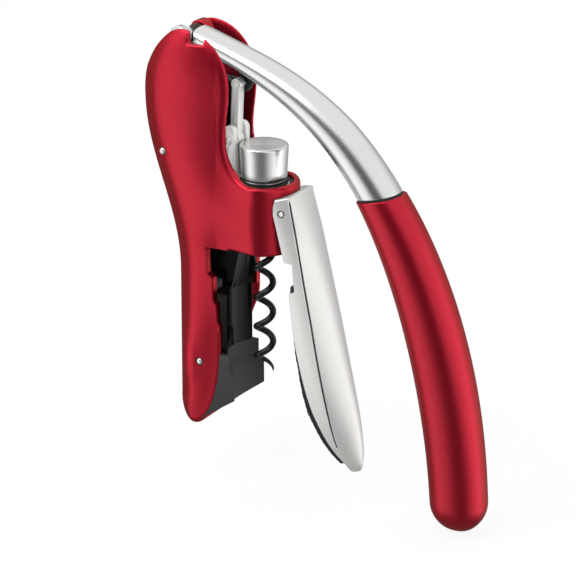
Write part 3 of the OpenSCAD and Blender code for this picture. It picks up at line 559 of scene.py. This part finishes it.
# Satin chrome over a blasted casting: pale silver, soft mirror bands along the bar. The grain is about 0.2 mm
# and is drawn at 0.4 mm so that it shows.
satin_chrome = finish("satin_chrome_on_blasted_zinc", ("#d0d0cf", "#dcdcdb"), (0.23, 0.29), 0.4, 0.0012,
                      Metallic=1.0)
fit(arm, "lever_arm_cast", satin_chrome, "lever", "satin_steel", "lever_arm")

# -------------------------------- Seal ring and tang
# A black rubber ring closes the seam between arm and grip, squeezed a little below both. Inside, the arm's
# steel tang runs on into the grip.
SEAL_INSET, SEAL_HALF, SEAL_EDGE, SEAL_RINGS, SEAL_SPAN = 0.15, 0.42, 0.12, 24, 0.136
ts = [seam_t + SEAL_SPAN * (i / SEAL_RINGS - 0.5) for i in range(SEAL_RINGS + 1)]
seal = solid("seal", *skin([lever_ring(lever_at(t), lever_dir(t), arm_p(t) - SEAL_INSET,
                                       arm_q(t) - SEAL_INSET, ARM_SIDES) for t in ts]))
seam_trim(seal, False, -SEAL_HALF, SEAL_EDGE)
seam_trim(seal, True, SEAL_HALF, SEAL_EDGE)
# Moulded rubber: matt black with a slight bloom, grain about 0.2 mm.
black_rubber = finish("black_rubber_moulded", ("#0b0b0b", "#141414"), (0.6, 0.75), 0.2, 0.01, IOR=1.52)
fit(seal, "seal_ring_rubber", black_rubber, "lever", "black_rubber", "seal_ring")
coat(ground_steel, "grip_tang")

# -------------------------------- Lever grip
# A nylon moulding pushed onto the tang and sprayed with the housing's red in a softer coat. It swells from
# the seam to a full, slightly flattened handle with a domed end.
GRIP_RINGS, GRIP_SIDES, DOME_RINGS, GRIP_BEFORE, GRIP_EDGE = 90, 72, 18, 0.1, 0.45
grip_half, grip_half_w, grip_dome = 12.9, 10.9, 13.5
swell_before, swell_reach, taper_from, taper, taper_w = 0.035, 0.36, 0.88, 7.5, 5


def grip_pq(t):
    f = sin(pi / 2 * clip((t - seam_t + swell_before) / swell_reach))
    fall = max(0, t - taper_from) ** 1.5
    return (mix(seam_half + 0.35, grip_half, f) - taper * fall,
            mix(seam_half + 0.25, grip_half_w, f) - taper_w * fall)


ts = [mix(seam_t - GRIP_BEFORE, 1, i / GRIP_RINGS) for i in range(GRIP_RINGS + 1)]
rings = [lever_ring(lever_at(t), lever_dir(t), *grip_pq(t), GRIP_SIDES) for t in ts]
end, ahead = lever_at(1), lever_dir(1)
for i in range(1, DOME_RINGS):
    a = pi / 2 * i / DOME_RINGS
    p, q = (k * cos(a) for k in grip_pq(1))
    rings.append(lever_ring(end + ahead * grip_dome * sin(a), ahead, p, q, GRIP_SIDES))
grip = solid("grip", *skin(rings))
seam_trim(grip, True, -SEAM_GAP, GRIP_EDGE)
# Soft sprayed coat over nylon: the same metallic red, a little smoother to the eye, with a skin-fine grain of
# about 0.15 mm that is drawn at 0.4 mm so that it shows.
soft_red = finish("red_soft_metallic_coat_on_nylon", ("#ad0b26", "#ba102d"), (0.34, 0.40), 0.4, 0.002,
                  Metallic=0.96, Coat_Weight=0.45, Coat_Roughness=0.28, Coat_IOR=1.5,
                  Specular_Tint=linear("#c21830"))
fit(grip, "lever_grip_moulded", soft_red, "lever", "red_grip", "lever_grip")
# Like the housing, it stays out of mirrored rays
grip.visible_glossy = False

# -------------------------------- Worm
# One steel wire wound to an open right-hand helix, ground to a point and dipped in a black non-stick coating.
# It is fixed in the shank, whose flange runs under the carriage.
WORM_SIDES, WORM_STEP = 16, 0.35
wire_r, worm_pitch, worm_depth, lead_in, worm_point = 1.45, 14, 38, 5, 7.5
helix_r, flange_z = 5.1 - wire_r, 36.5
helix_top = flange_z - 2 * wire_r


def worm_angle(z):
    d = helix_top - z
    if d <= 0:
        return 0
    return -pi * d * d / lead_in / worm_pitch if d < lead_in else -2 * pi * (d - lead_in / 2) / worm_pitch


def worm_mid(z):
    return Vector((helix_r * cos(worm_angle(z)), helix_r * sin(worm_angle(z)), z))


def tube(path, radius, sides):
    """A tube along a path, each ring square to it."""
    rings, side = [], None
    for i, p in enumerate(path):
        d = (path[min(i + 1, len(path) - 1)] - path[max(i - 1, 0)]).normalized()
        side = d.orthogonal().normalized() if side is None else (side - d * side.dot(d)).normalized()
        other = d.cross(side)
        rings.append([p + radius(i) * (side * cos(2 * pi * j / sides) + other * sin(2 * pi * j / sides))
                      for j in range(sides)])
    return solid("tube", *skin(rings))


count = ceil((flange_z + worm_depth) / WORM_STEP)
path = [worm_mid(min(flange_z, -worm_depth + i * WORM_STEP)) for i in range(count + 1)]
point_steps = worm_point / WORM_STEP
worm = tube(path, lambda i: wire_r * sqrt(min(1, (i + 0.06) / point_steps)), WORM_SIDES)
# Fluoropolymer dip: black with a low even gloss and a faint orange peel about 0.8 mm.
coated_steel = finish("steel_black_nonstick_dipped", ("#0d0d0e", "#18181a"), (0.26, 0.36), 0.8, 0.01,
                      IOR=1.4)
fit(worm, "worm_wire_coated", coated_steel, "worm", "coated_steel", "worm")
coat(ground_steel, "worm_shank")

# -------------------------------- Knob
# Turned from steel bar with a slight taper, a fine groove near its foot and a faced top, pinned to the shank.
# A black nylon ring under it runs on the carriage.
KNOB_SIDES = 144
knob_z0, knob_r, knob_h, shank_r = 50.7, 10.9, 16.9, 4
knob_edge, knob_dish, bore_top = 0.9, 0.02, knob_z0 + 10
z1, knob_foot, knob_top = knob_z0 + knob_h, knob_r - 1.1, knob_r - 0.3
edge_turns = [radians(90 * i / 6) for i in range(7)]
side = [(shank_r, knob_z0 + 1), (knob_foot - 0.25, knob_z0 + 1), (knob_foot, knob_z0 + 1.25),
        (knob_foot, knob_z0 + 1.85), (knob_foot - 0.35, knob_z0 + 2.0), (knob_foot - 0.35, knob_z0 + 2.3),
        (knob_foot + 0.02, knob_z0 + 2.45), (knob_foot + 0.12, knob_z0 + 2.6)]
side += [(mix(knob_foot + 0.12, knob_top, f), mix(knob_z0 + 2.6, z1 - knob_edge, f))
         for f in (0.25, 0.5, 0.75)]
side += [(knob_top - knob_edge + knob_edge * cos(a), z1 - knob_edge + knob_edge * sin(a)) for a in edge_turns]
side += [(r, z1 - knob_dish * (knob_top - knob_edge - r) / 10) for r in (8, 6, 4, 2)]
side += [(0, z1 - knob_dish), (0, bore_top), (shank_r, bore_top)]
knob = turned("knob", side, Matrix.Identity(4), KNOB_SIDES)
# Turned bar, brushed: concentric tool rings about 0.08 mm apart on the faced top and round the side, drawn at
# 0.35 mm so that they show, with a stretched highlight across them.
brushed_steel = bpy.data.materials.new("steel_bar_turned_and_brushed")
brushed_steel.use_nodes = True
tree = brushed_steel.node_tree
shader = tree.nodes["Principled BSDF"]
shader.inputs["Metallic"].default_value = 1.0
shader.inputs["Anisotropic"].default_value = 0.7
where = add(tree, "ShaderNodeTexCoord").outputs["Object"]
xyz = add(tree, "ShaderNodeSeparateXYZ", {0: where})
flat = add(tree, "ShaderNodeCombineXYZ", {"X": xyz.outputs["X"], "Y": xyz.outputs["Y"]})
radius = add(tree, "ShaderNodeVectorMath", {0: flat.outputs[0]}, operation="LENGTH")
turn = add(tree, "ShaderNodeMath", {0: xyz.outputs["Y"], 1: xyz.outputs["X"]}, operation="ARCTAN2")
TOOL_RING, BRUSH_SPREAD = 0.35 * MM, 0.9
lay = add(tree, "ShaderNodeCombineXYZ", {"X": radius.outputs["Value"], "Y": xyz.outputs["Z"]})
lay = add(tree, "ShaderNodeVectorMath", {0: lay.outputs[0], "Scale": 1 / TOOL_RING}, operation="SCALE")
spread = add(tree, "ShaderNodeMath", {0: turn.outputs[0], 1: BRUSH_SPREAD}, operation="MULTIPLY")
spread = add(tree, "ShaderNodeCombineXYZ", {"Z": spread.outputs[0]})
lay = add(tree, "ShaderNodeVectorMath", {0: lay.outputs[0], 1: spread.outputs[0]}, operation="ADD")
lines = add(tree, "ShaderNodeTexNoise", {"Vector": lay.outputs[0], "Scale": 1.0, "Detail": 2.0}).outputs[0]
tone = add(tree, "ShaderNodeMix", {0: lines, 6: linear("#cececd"), 7: linear("#dadad8")}, data_type="RGBA")
gloss = add(tree, "ShaderNodeMapRange", {"Value": lines, "To Min": 0.20, "To Max": 0.26})
bump = add(tree, "ShaderNodeBump", {"Height": lines, "Strength": 0.25, "Distance": 0.0015 * MM})
tangent = add(tree, "ShaderNodeTangent", direction_type="RADIAL", axis="Z")
for source, socket in ((tone.outputs[2], "Base Color"), (gloss.outputs[0], "Roughness"),
                       (bump.outputs[0], "Normal"), (tangent.outputs[0], "Tangent")):
    tree.links.new(source, shader.inputs[socket])
fit(knob, "knob_turned", brushed_steel, "worm", "turned_steel", "knob", sharp=50)
# Painted shade at the foot of a groove: dark grey, duller steel where the groove's shade falls, grain about
# 0.2 mm.
groove_painted_shade = finish("steel_groove_painted_shade", ("#3a3a3b", "#545456"), (0.5, 0.62), 0.2, 0.004,
                     Metallic=0.5)
knob.data.materials.append(groove_painted_shade)
# The faces in the knob's groove take this painted shade
groove_foot, groove_top = knob_z0 + 1.7, knob_z0 + 2.5
for face in knob.data.polygons:
    x, y, z = face.center / MM
    if groove_foot < z < groove_top and hypot(x, y) > shank_r + 1:
        face.material_index = 1
# The ring reaches out to nearly the knob's radius: partly the real nylon ring, partly painted shade, its
# black covering the gap round the knob's foot where shade falls.
ring_r = knob_r - 0.1
foot_ring = [(shank_r, knob_z0), (ring_r - 0.3, knob_z0), (ring_r, knob_z0 + 0.3), (ring_r, knob_z0 + 0.7),
             (ring_r - 0.28, knob_z0 + 0.98), (shank_r, knob_z0 + 0.98)]
fit(turned("ring", foot_ring, Matrix.Identity(4)), "knob_foot_ring", black_nylon, "worm", "black_nylon",
    "knob_ring")

# -------------------------------- Clamp hinge and spring
# The hinge pin crosses the bracket and ends flush in the handle's ears. A spring of steel wire between the
# collar and the handle's inside holds the handle open.
SPRING_SIDES, SPRING_RINGS = 10, 180
clamp_open, clamp_t = radians(14.8), 1.7
hinge_r, hinge_reach = 1.5, 11.9
hinge_end = [(0, hinge_reach), (0.95, hinge_reach), (1.1, hinge_reach - 0.15), (1.1, hinge_reach - 1.2),
             (hinge_r, hinge_reach - 1.4)]
hinge_profile = hinge_end + [(p, -h) for p, h in reversed(hinge_end)]
fit(turned("pin", hinge_profile, across(hinge)), "clamp_hinge_pin_ground", ground_steel, "frame",
    "steel_pin", "clamp_hinge_pin", sharp=25)
handle_top, handle_tip, handle_half = 6.4, -122, 12.6
face_top, face_bulge, bulge_reach, tip_fall, tip_from = 5.4, 2.4, 60, 6, -92


def handle_face(z):
    bulge = face_bulge * sin(pi / 2 * clip((handle_top - z) / bulge_reach))
    tip = tip_fall * (1 - sqrt(max(0, 1 - (max(0, tip_from - z) / (tip_from - handle_tip)) ** 2)))
    return face_top + bulge - tip


spring_r, spring_wire, spring_turns, spring_drop, lead, bend = 2.4, 0.4, 4, 12.5, 0.8, 1.2
spring_x0, spring_z = collar_r + 0.05, hinge[1] - spring_drop
spring_end = (handle_face(-spring_drop) - clamp_t) * cos(clamp_open) + spring_drop * sin(clamp_open) - 0.3
spring_len = hinge[0] + spring_end - spring_x0
rate = 2 * pi * spring_turns / (spring_len - 2 * lead - bend)


def bent(d):
    return 0 if d <= 0 else d * d / bend / 2 if d < bend else d - bend / 2


def spring_mid(x):
    a = rate * (bent(x - lead) - bent(x - spring_len + lead + bend))
    return Vector((spring_x0 + x, spring_r * cos(a), spring_z + spring_r * sin(a)))


path = [spring_mid(spring_len * i / SPRING_RINGS) for i in range(SPRING_RINGS + 1)]
# Drawn spring wire: bright grey with fine lines from the die about 0.05 mm apart, drawn as a grain of 0.3 mm
# so that they show.
spring_steel = finish("spring_steel_drawn_wire", ("#8f9193", "#b3b4b6"), (0.24, 0.34), 0.3, 0.003,
                      Metallic=1.0)
spring = fit(tube(path, lambda i: spring_wire, SPRING_SIDES), "clamp_spring_wire", spring_steel, "frame",
             "steel_pin", "clamp_spring")
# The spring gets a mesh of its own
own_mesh(spring)

# -------------------------------- Clamp handle
# A pressed steel shell: leaning sides with hinge ears, a crowned front set off from them by a pressed line,
# and a closed top that follows the collar. Blasted and satin-chromed like the arm.
HANDLE_STEP, FINEST_STEP, FINE_FROM = 1.0, 0.12, -108
SIDE_POINTS, CROWN_POINTS, CREASE_POINTS, SIDE_BEND = 10, 30, 9, 1.8
crease_depth, crease_width, crease_aim, crease_top, crease_end = 1.1, 0.6, 4, 5.2, -117
narrow_from, lean_from, tip_solid_from, lip_round, top_round = -50, -4, -118, 0.5, 0.7
edge_line = ((6.4, 4.5), (-12, 4.2), (-52, 2.2), (-93, -0.8), (-106, -1.6), (-122, 0))
lean_line = ((6.4, 0.8), (-12, 0.885), (-32, 0.94), (-60, 0.965), (-93, 0.99), (-122, 0.99))
back_line = ((6.4, -1.7), (3.3, -3.2), (0, -4), (-18, -4), (-21.1, -4.1), (-22.4, -0.3), (-29, -1.5),
             (-34.4, -2.2), (-35.2, -5.2), (-43, -6.4), (-53, -7.7), (-62.4, -8.4), (-72, -8.8),
             (-81, -8.9), (-90, -8.5), (-98, -7.2), (-105, -5.8), (-111, -3.9), (-116.6, -1.6),
             (-121, 0.4), (-122, 0.5))
in_clamp = Matrix.Translation((hinge[0], 0, hinge[1])) @ Matrix.Rotation(-clamp_open, 4, "Y")


def along(line, z):
    if z >= line[0][0]:
        return line[0][1]
    for (za, a), (zb, b) in zip(line, line[1:]):
        if z >= zb:
            return mix(a, b, (za - z) / (za - zb))
    return line[-1][1]


def half_at(z):
    return handle_half * sqrt(max(0, 1 - (max(0, narrow_from - z) / (narrow_from - handle_tip)) ** 2.2))


def section(z, inset, back):
    """Half of the handle's section, from its back edge over the pressed line to the middle of the front."""
    h = half_at(z)
    e, x1 = max(0.05, h * along(lean_line, z) - inset), handle_face(z) - inset
    x0 = min(along(edge_line, z), x1 - 0.3)
    back = min(back, x0 - 0.6)
    fall = max(0.1, h - inset) - e
    side = [mix(back, x0, i / SIDE_POINTS) for i in range(SIDE_POINTS + 1)]
    side = [(x, e + fall * (1 - max(0, (x - lean_from) / (x0 - lean_from)) ** SIDE_BEND)) for x in side]
    crown = []
    for i in range(1, CROWN_POINTS + 1):
        c = cos(pi / 2 * (i / CROWN_POINTS) ** 1.25)
        crown.append((x0 + (x1 - x0) * max(0, 1 - c * c) ** 0.9, e * c))
    return side, crown


def creased(side, crown, depth):
    """The section with the pressed line sunk between side and crown."""
    corner = Vector(side[-1])
    line = [Vector(p) for p in side + crown]
    lengths = [0]
    for a, b in zip(line, line[1:]):
        lengths.append(lengths[-1] + (b - a).length)
    at = lengths[len(side) - 1]

    def spot(s):
        for i in range(len(line) - 1):
            if s <= lengths[i + 1]:
                return line[i].lerp(line[i + 1], (s - lengths[i]) / max(1e-6, lengths[i + 1] - lengths[i]))
        return line[-1]

    span = min(1.5, at * 0.6, (lengths[-1] - at) * 0.5)
    stops = [at * (i / SIDE_POINTS) * (1 - span / at) for i in range(SIDE_POINTS)]
    stops += [at - span + 2 * span * i / (2 * CREASE_POINTS) for i in range(2 * CREASE_POINTS + 1)]
    rest = lengths[-1] - at - span
    stops += [at + span + rest * (i / CROWN_POINTS) for i in range(1, CROWN_POINTS + 1)]
    inward = (Vector((corner[0] - crease_aim, 0)) - corner).normalized()
    return [spot(s) + inward * depth * max(0, 1 - ((s - at) / crease_width) ** 2) ** 1.5
            if abs(s - at) < crease_width else spot(s) for s in stops]


def handle_ring(z, rise):
    """One level of the shell: outside and inside with a rounded lip between, drawn in by rise at the top."""
    back = along(back_line, z) + lip_round
    depth = crease_depth * clip((crease_top - z) / 1.2) * clip((z - crease_end) / 30)
    outer = creased(*section(z, rise, back), depth)
    side, crown = section(z, clamp_t, back)
    inner = [Vector(p) for p in side + crown]
    solid_share = clip((tip_solid_from - z) / 0.7)
    y0, last = outer[0][1], len(inner) - 1
    chord = [Vector((back, mix(y0 - 1.4, 0, i / last))) for i in range(last + 1)]
    inner = [a.lerp(b, solid_share) for a, b in zip(inner, chord)]
    y1 = inner[0][1]
    lip = [Vector((back - lip_round * sin(pi * f), mix(y0, y1, f - 0.08 * sin(2 * pi * f))))
           for f in (0.15, 0.35, 0.65, 0.85)]
    near = [(p[0], -p[1], z) for p in outer]
    far = [(p[0], p[1], z) for p in reversed(outer[:-1])]
    lip_far = [(p[0], p[1], z) for p in lip]
    in_far = [(p[0], p[1], z) for p in inner]
    in_near = [(p[0], -p[1], z) for p in reversed(inner[:-1])]
    lip_near = [(p[0], -p[1], z) for p in reversed(lip)]
    return [in_clamp @ Vector(p) for p in near + far + lip_far + in_far + in_near + lip_near]


top_turns = [pi / 2 * k / 4 for k in range(4, -1, -1)]
levels = [(handle_top - top_round * (1 - sin(a)), top_round * (1 - cos(a))) for a in top_turns]
z = handle_top - 1.2
while z > handle_tip + 0.15:
    levels.append((z, 0))
    z -= HANDLE_STEP if z > FINE_FROM else max(FINEST_STEP, (z - handle_tip) * 0.09)
levels = sorted(levels + [(k + d, 0) for k, _ in back_line[3:9] for d in (-0.15, 0.05)], reverse=True)
handle = solid("handle", *skin([handle_ring(z, rise) for z, rise in levels]))
plate_inset, plate_back, collar_clear = 1.1, -6, collar_r + 0.4
side, crown = section(handle_top, plate_inset, 0)
half_plate = side + crown
plate_edge = [(p[0], -p[1]) for p in half_plate] + [(p[0], p[1]) for p in reversed(half_plate[:-1])]
plate_edge = [(plate_back, -half_plate[0][1])] + plate_edge + [(plate_back, half_plate[0][1])]
plate = solid("plate", *skin([[in_clamp @ Vector((x, y, h)) for x, y in plate_edge]
                              for h in (handle_top - clamp_t, handle_top - 0.03)]))
cut(plate, [drum(collar_clear, collar_foot, out_z)])
cut(handle, [plate], "UNION")
cut(handle, [rod(hinge, hinge_r + 0.2, -out_y, out_y)])
# Satin chrome over a blasted pressing: paler and softer than the arm, so that nothing sharp is mirrored in
# it. The grain is about 0.2 mm and is drawn at 0.4 mm so that it shows.
satin_pressing = finish("satin_chrome_on_blasted_steel", ("#d4d4d2", "#dcdcda"), (0.32, 0.38), 0.4, 0.001,
                        Metallic=0.6)
fit(handle, "clamp_handle_shell", satin_pressing, "clamp", "satin_steel", "clamp_handle", sharp=32)
# The pressed line's foot takes the same painted shade as the knob's groove: a dark line where its shadow
# falls
handle.data.materials.append(groove_painted_shade)
LINE_HALF, LINE_TOP, LINE_END, LINE_SUNK, LINE_DEEPEST = 0.3, 4.2, -108, 0.1, 1.2
# Faces at the foot of the pressed line take the painted shade
to_handle = in_clamp.inverted()
for face in handle.data.polygons:
    x, y, z = to_handle @ (face.center / MM)
    if LINE_END < z < LINE_TOP:
        corner = Vector((min(along(edge_line, z), handle_face(z) - 0.3), half_at(z) * along(lean_line, z)))
        inward = Vector((-crease_aim, -corner[1])).normalized()
        below = Vector((x, abs(y))) - corner
        aside = abs(below[0] * inward[1] - below[1] * inward[0])
        if aside < LINE_HALF and LINE_SUNK < below.dot(inward) < LINE_DEEPEST:
            face.material_index = 1

# -------------------------------- Clamp pad
# A black rubber block bonded inside the handle and hollowed for its grip. Its edge shows behind the handle's
# lower edge.
PAD_EDGE, PAD_EDGE_ANGLE, PAD_VOXEL, PAD_EASE = 0.3, 50, 0.5, 6
pad = trimmed("clamp_pad", PAD_EDGE, PAD_EDGE_ANGLE)
soften(pad, PAD_VOXEL, PAD_EASE)
fit(pad, "clamp_pad_rubber", black_rubber, "clamp", "black_rubber", "clamp_pad")

# -------------------------------- Stage, light and camera
# A pale floor under the lever's end, a white studio with a bright panel to each side and darker gaps between
# and below, one soft lamp for the shadow, and the camera at the photograph's angle.
FLOOR_Z, FLOOR_SIDE, FLOOR_GLOW = -91.0, 6000, 0.88
view_az, view_el, view_far, focal = 31.0, 21.5, 900, 128.25
shift_right, shift_up = 10.22, 1.32
lamp_place, lamp_aim = (-250, -450, 520), (0, 0, 20)
scene = bpy.context.scene
reach = FLOOR_SIDE / 2
floor_corners = [(-reach, -reach, FLOOR_Z), (reach, -reach, FLOOR_Z), (reach, reach, FLOOR_Z),
                 (-reach, reach, FLOOR_Z)]
floor = solid("floor", floor_corners, [(0, 1, 2, 3)])
# Matt white board, unmarked. It glows towards the camera, so that its edge melts into the white studio, and
# stays out of mirrored rays, which see the studio's lower part instead.
floor_paint = bpy.data.materials.new("floor_pale_matt_board")
floor_paint.use_nodes = True
tree = floor_paint.node_tree
tree.nodes.remove(tree.nodes["Principled BSDF"])
ray = add(tree, "ShaderNodeLightPath")
share = add(tree, "ShaderNodeMath", {0: ray.outputs["Is Camera Ray"], 1: FLOOR_GLOW}, operation="MULTIPLY")
board = add(tree, "ShaderNodeBsdfDiffuse", {"Color": linear("#f4f4f2")})
glow = add(tree, "ShaderNodeEmission", {"Color": (1, 1, 1, 1), "Strength": 1.0})
both = add(tree, "ShaderNodeMixShader", {0: share.outputs[0], 1: board.outputs[0], 2: glow.outputs[0]})
tree.links.new(both.outputs[0], tree.nodes["Material Output"].inputs["Surface"])
floor.data.materials.append(floor_paint)
floor.visible_glossy = False

# Studio brightness by direction, low down and at eye level: degrees round from the camera, left being
# negative, and brightness. Heights are those of a direction of length one.
studio_low = ((-180, 0.45), (-125, 0.35), (-102, 0.3), (-88, 1.3), (-74, 1.6), (-60, 1.3), (-42, 0.42),
              (-24, 0.2), (2, 0.2), (24, 0.75), (48, 1.4), (68, 1.6), (86, 1.9), (104, 1.2), (135, 0.5),
              (180, 0.45))
studio_mid = ((-180, 0.35), (-125, 0.45), (-100, 0.5), (-84, 1.3), (-68, 1.45), (-54, 0.08), (-12, 0.06),
              (14, 1.0), (48, 1.4), (70, 1.6), (90, 1.7), (108, 1.0), (128, 0.6), (180, 0.35))
BRIGHTEST = 2.0
LOW_BELOW, MID_ABOVE = -0.22, -0.07
overhead, OVERHEAD_FROM, OVERHEAD_FULL = 1.1, 0.24, 0.5
underneath, UNDER_FROM, UNDER_FULL = 0.3, -0.45, -0.75
world = bpy.data.worlds.new("studio")
scene.world = world
world.use_nodes = True
tree = world.node_tree
sky = tree.nodes["Background"]
aim = add(tree, "ShaderNodeTexCoord").outputs["Generated"]
facing = add(tree, "ShaderNodeVectorRotate",
             {"Vector": aim, "Axis": (0, 0, 1), "Angle": radians(90 - view_az)}, rotation_type="AXIS_ANGLE")
xyz = add(tree, "ShaderNodeSeparateXYZ", {0: facing.outputs[0]})
round_about = add(tree, "ShaderNodeMath", {0: xyz.outputs["Y"], 1: xyz.outputs["X"]}, operation="ARCTAN2")
share = add(tree, "ShaderNodeMapRange", {"Value": round_about.outputs[0], "From Min": -pi, "From Max": pi})
rounds = []
for studio in (studio_low, studio_mid):
    dial = add(tree, "ShaderNodeValToRGB", {0: share.outputs[0]})
    dial.color_ramp.interpolation = "EASE"
    while len(dial.color_ramp.elements) < len(studio):
        dial.color_ramp.elements.new(0.5)
    for stop, (turn_from, bright) in zip(dial.color_ramp.elements, studio):
        stop.position = (turn_from + 180) / 360
        stop.color = (bright / BRIGHTEST,) * 3 + (1,)
    lit = add(tree, "ShaderNodeMath", {0: dial.outputs[0], 1: BRIGHTEST}, operation="MULTIPLY")
    rounds.append(lit.outputs[0])
level = rounds[0]
for start, full, beyond in ((LOW_BELOW, MID_ABOVE, rounds[1]), (OVERHEAD_FROM, OVERHEAD_FULL, overhead),
                            (UNDER_FROM, UNDER_FULL, underneath)):
    share = add(tree, "ShaderNodeMapRange", {"Value": xyz.outputs["Z"], "From Min": start, "From Max": full},
                interpolation_type="SMOOTHSTEP")
    level = add(tree, "ShaderNodeMix", {0: share.outputs[0], 2: level, 3: beyond}).outputs[0]
# The camera itself sees plain white
ray = add(tree, "ShaderNodeLightPath")
level = add(tree, "ShaderNodeMix", {0: ray.outputs["Is Camera Ray"], 2: level, 3: 1.0})
tree.links.new(level.outputs[0], sky.inputs["Color"])

lamp = bpy.data.lights.new("soft_lamp", "AREA")
lamp.energy, lamp.size = 2.2, 0.5
lamp_at = bpy.data.objects.new("soft_lamp", lamp)
lamp_at.location = Vector(lamp_place) * MM
lamp_at.rotation_euler = (Vector(lamp_aim) * MM - lamp_at.location).to_track_quat("-Z", "Y").to_euler()
scene.collection.objects.link(lamp_at)

az, el = radians(view_az), radians(view_el)
right = Vector((cos(az), sin(az), 0))
back_way = Vector((sin(az) * cos(el), -cos(az) * cos(el), sin(el)))
up_way = back_way.cross(right)
camera_data = bpy.data.cameras.new("camera")
camera_data.lens, camera_data.sensor_width, camera_data.clip_start = focal, 36, 0.01
camera = bpy.data.objects.new("camera", camera_data)
centre = right * shift_right + up_way * shift_up
camera.matrix_world = (Matrix.Translation((centre + back_way * view_far) * MM)
                       @ Matrix((right, up_way, back_way)).transposed().to_4x4())
scene.collection.objects.link(camera)
scene.camera = camera
scene.view_settings.view_transform = "Standard"
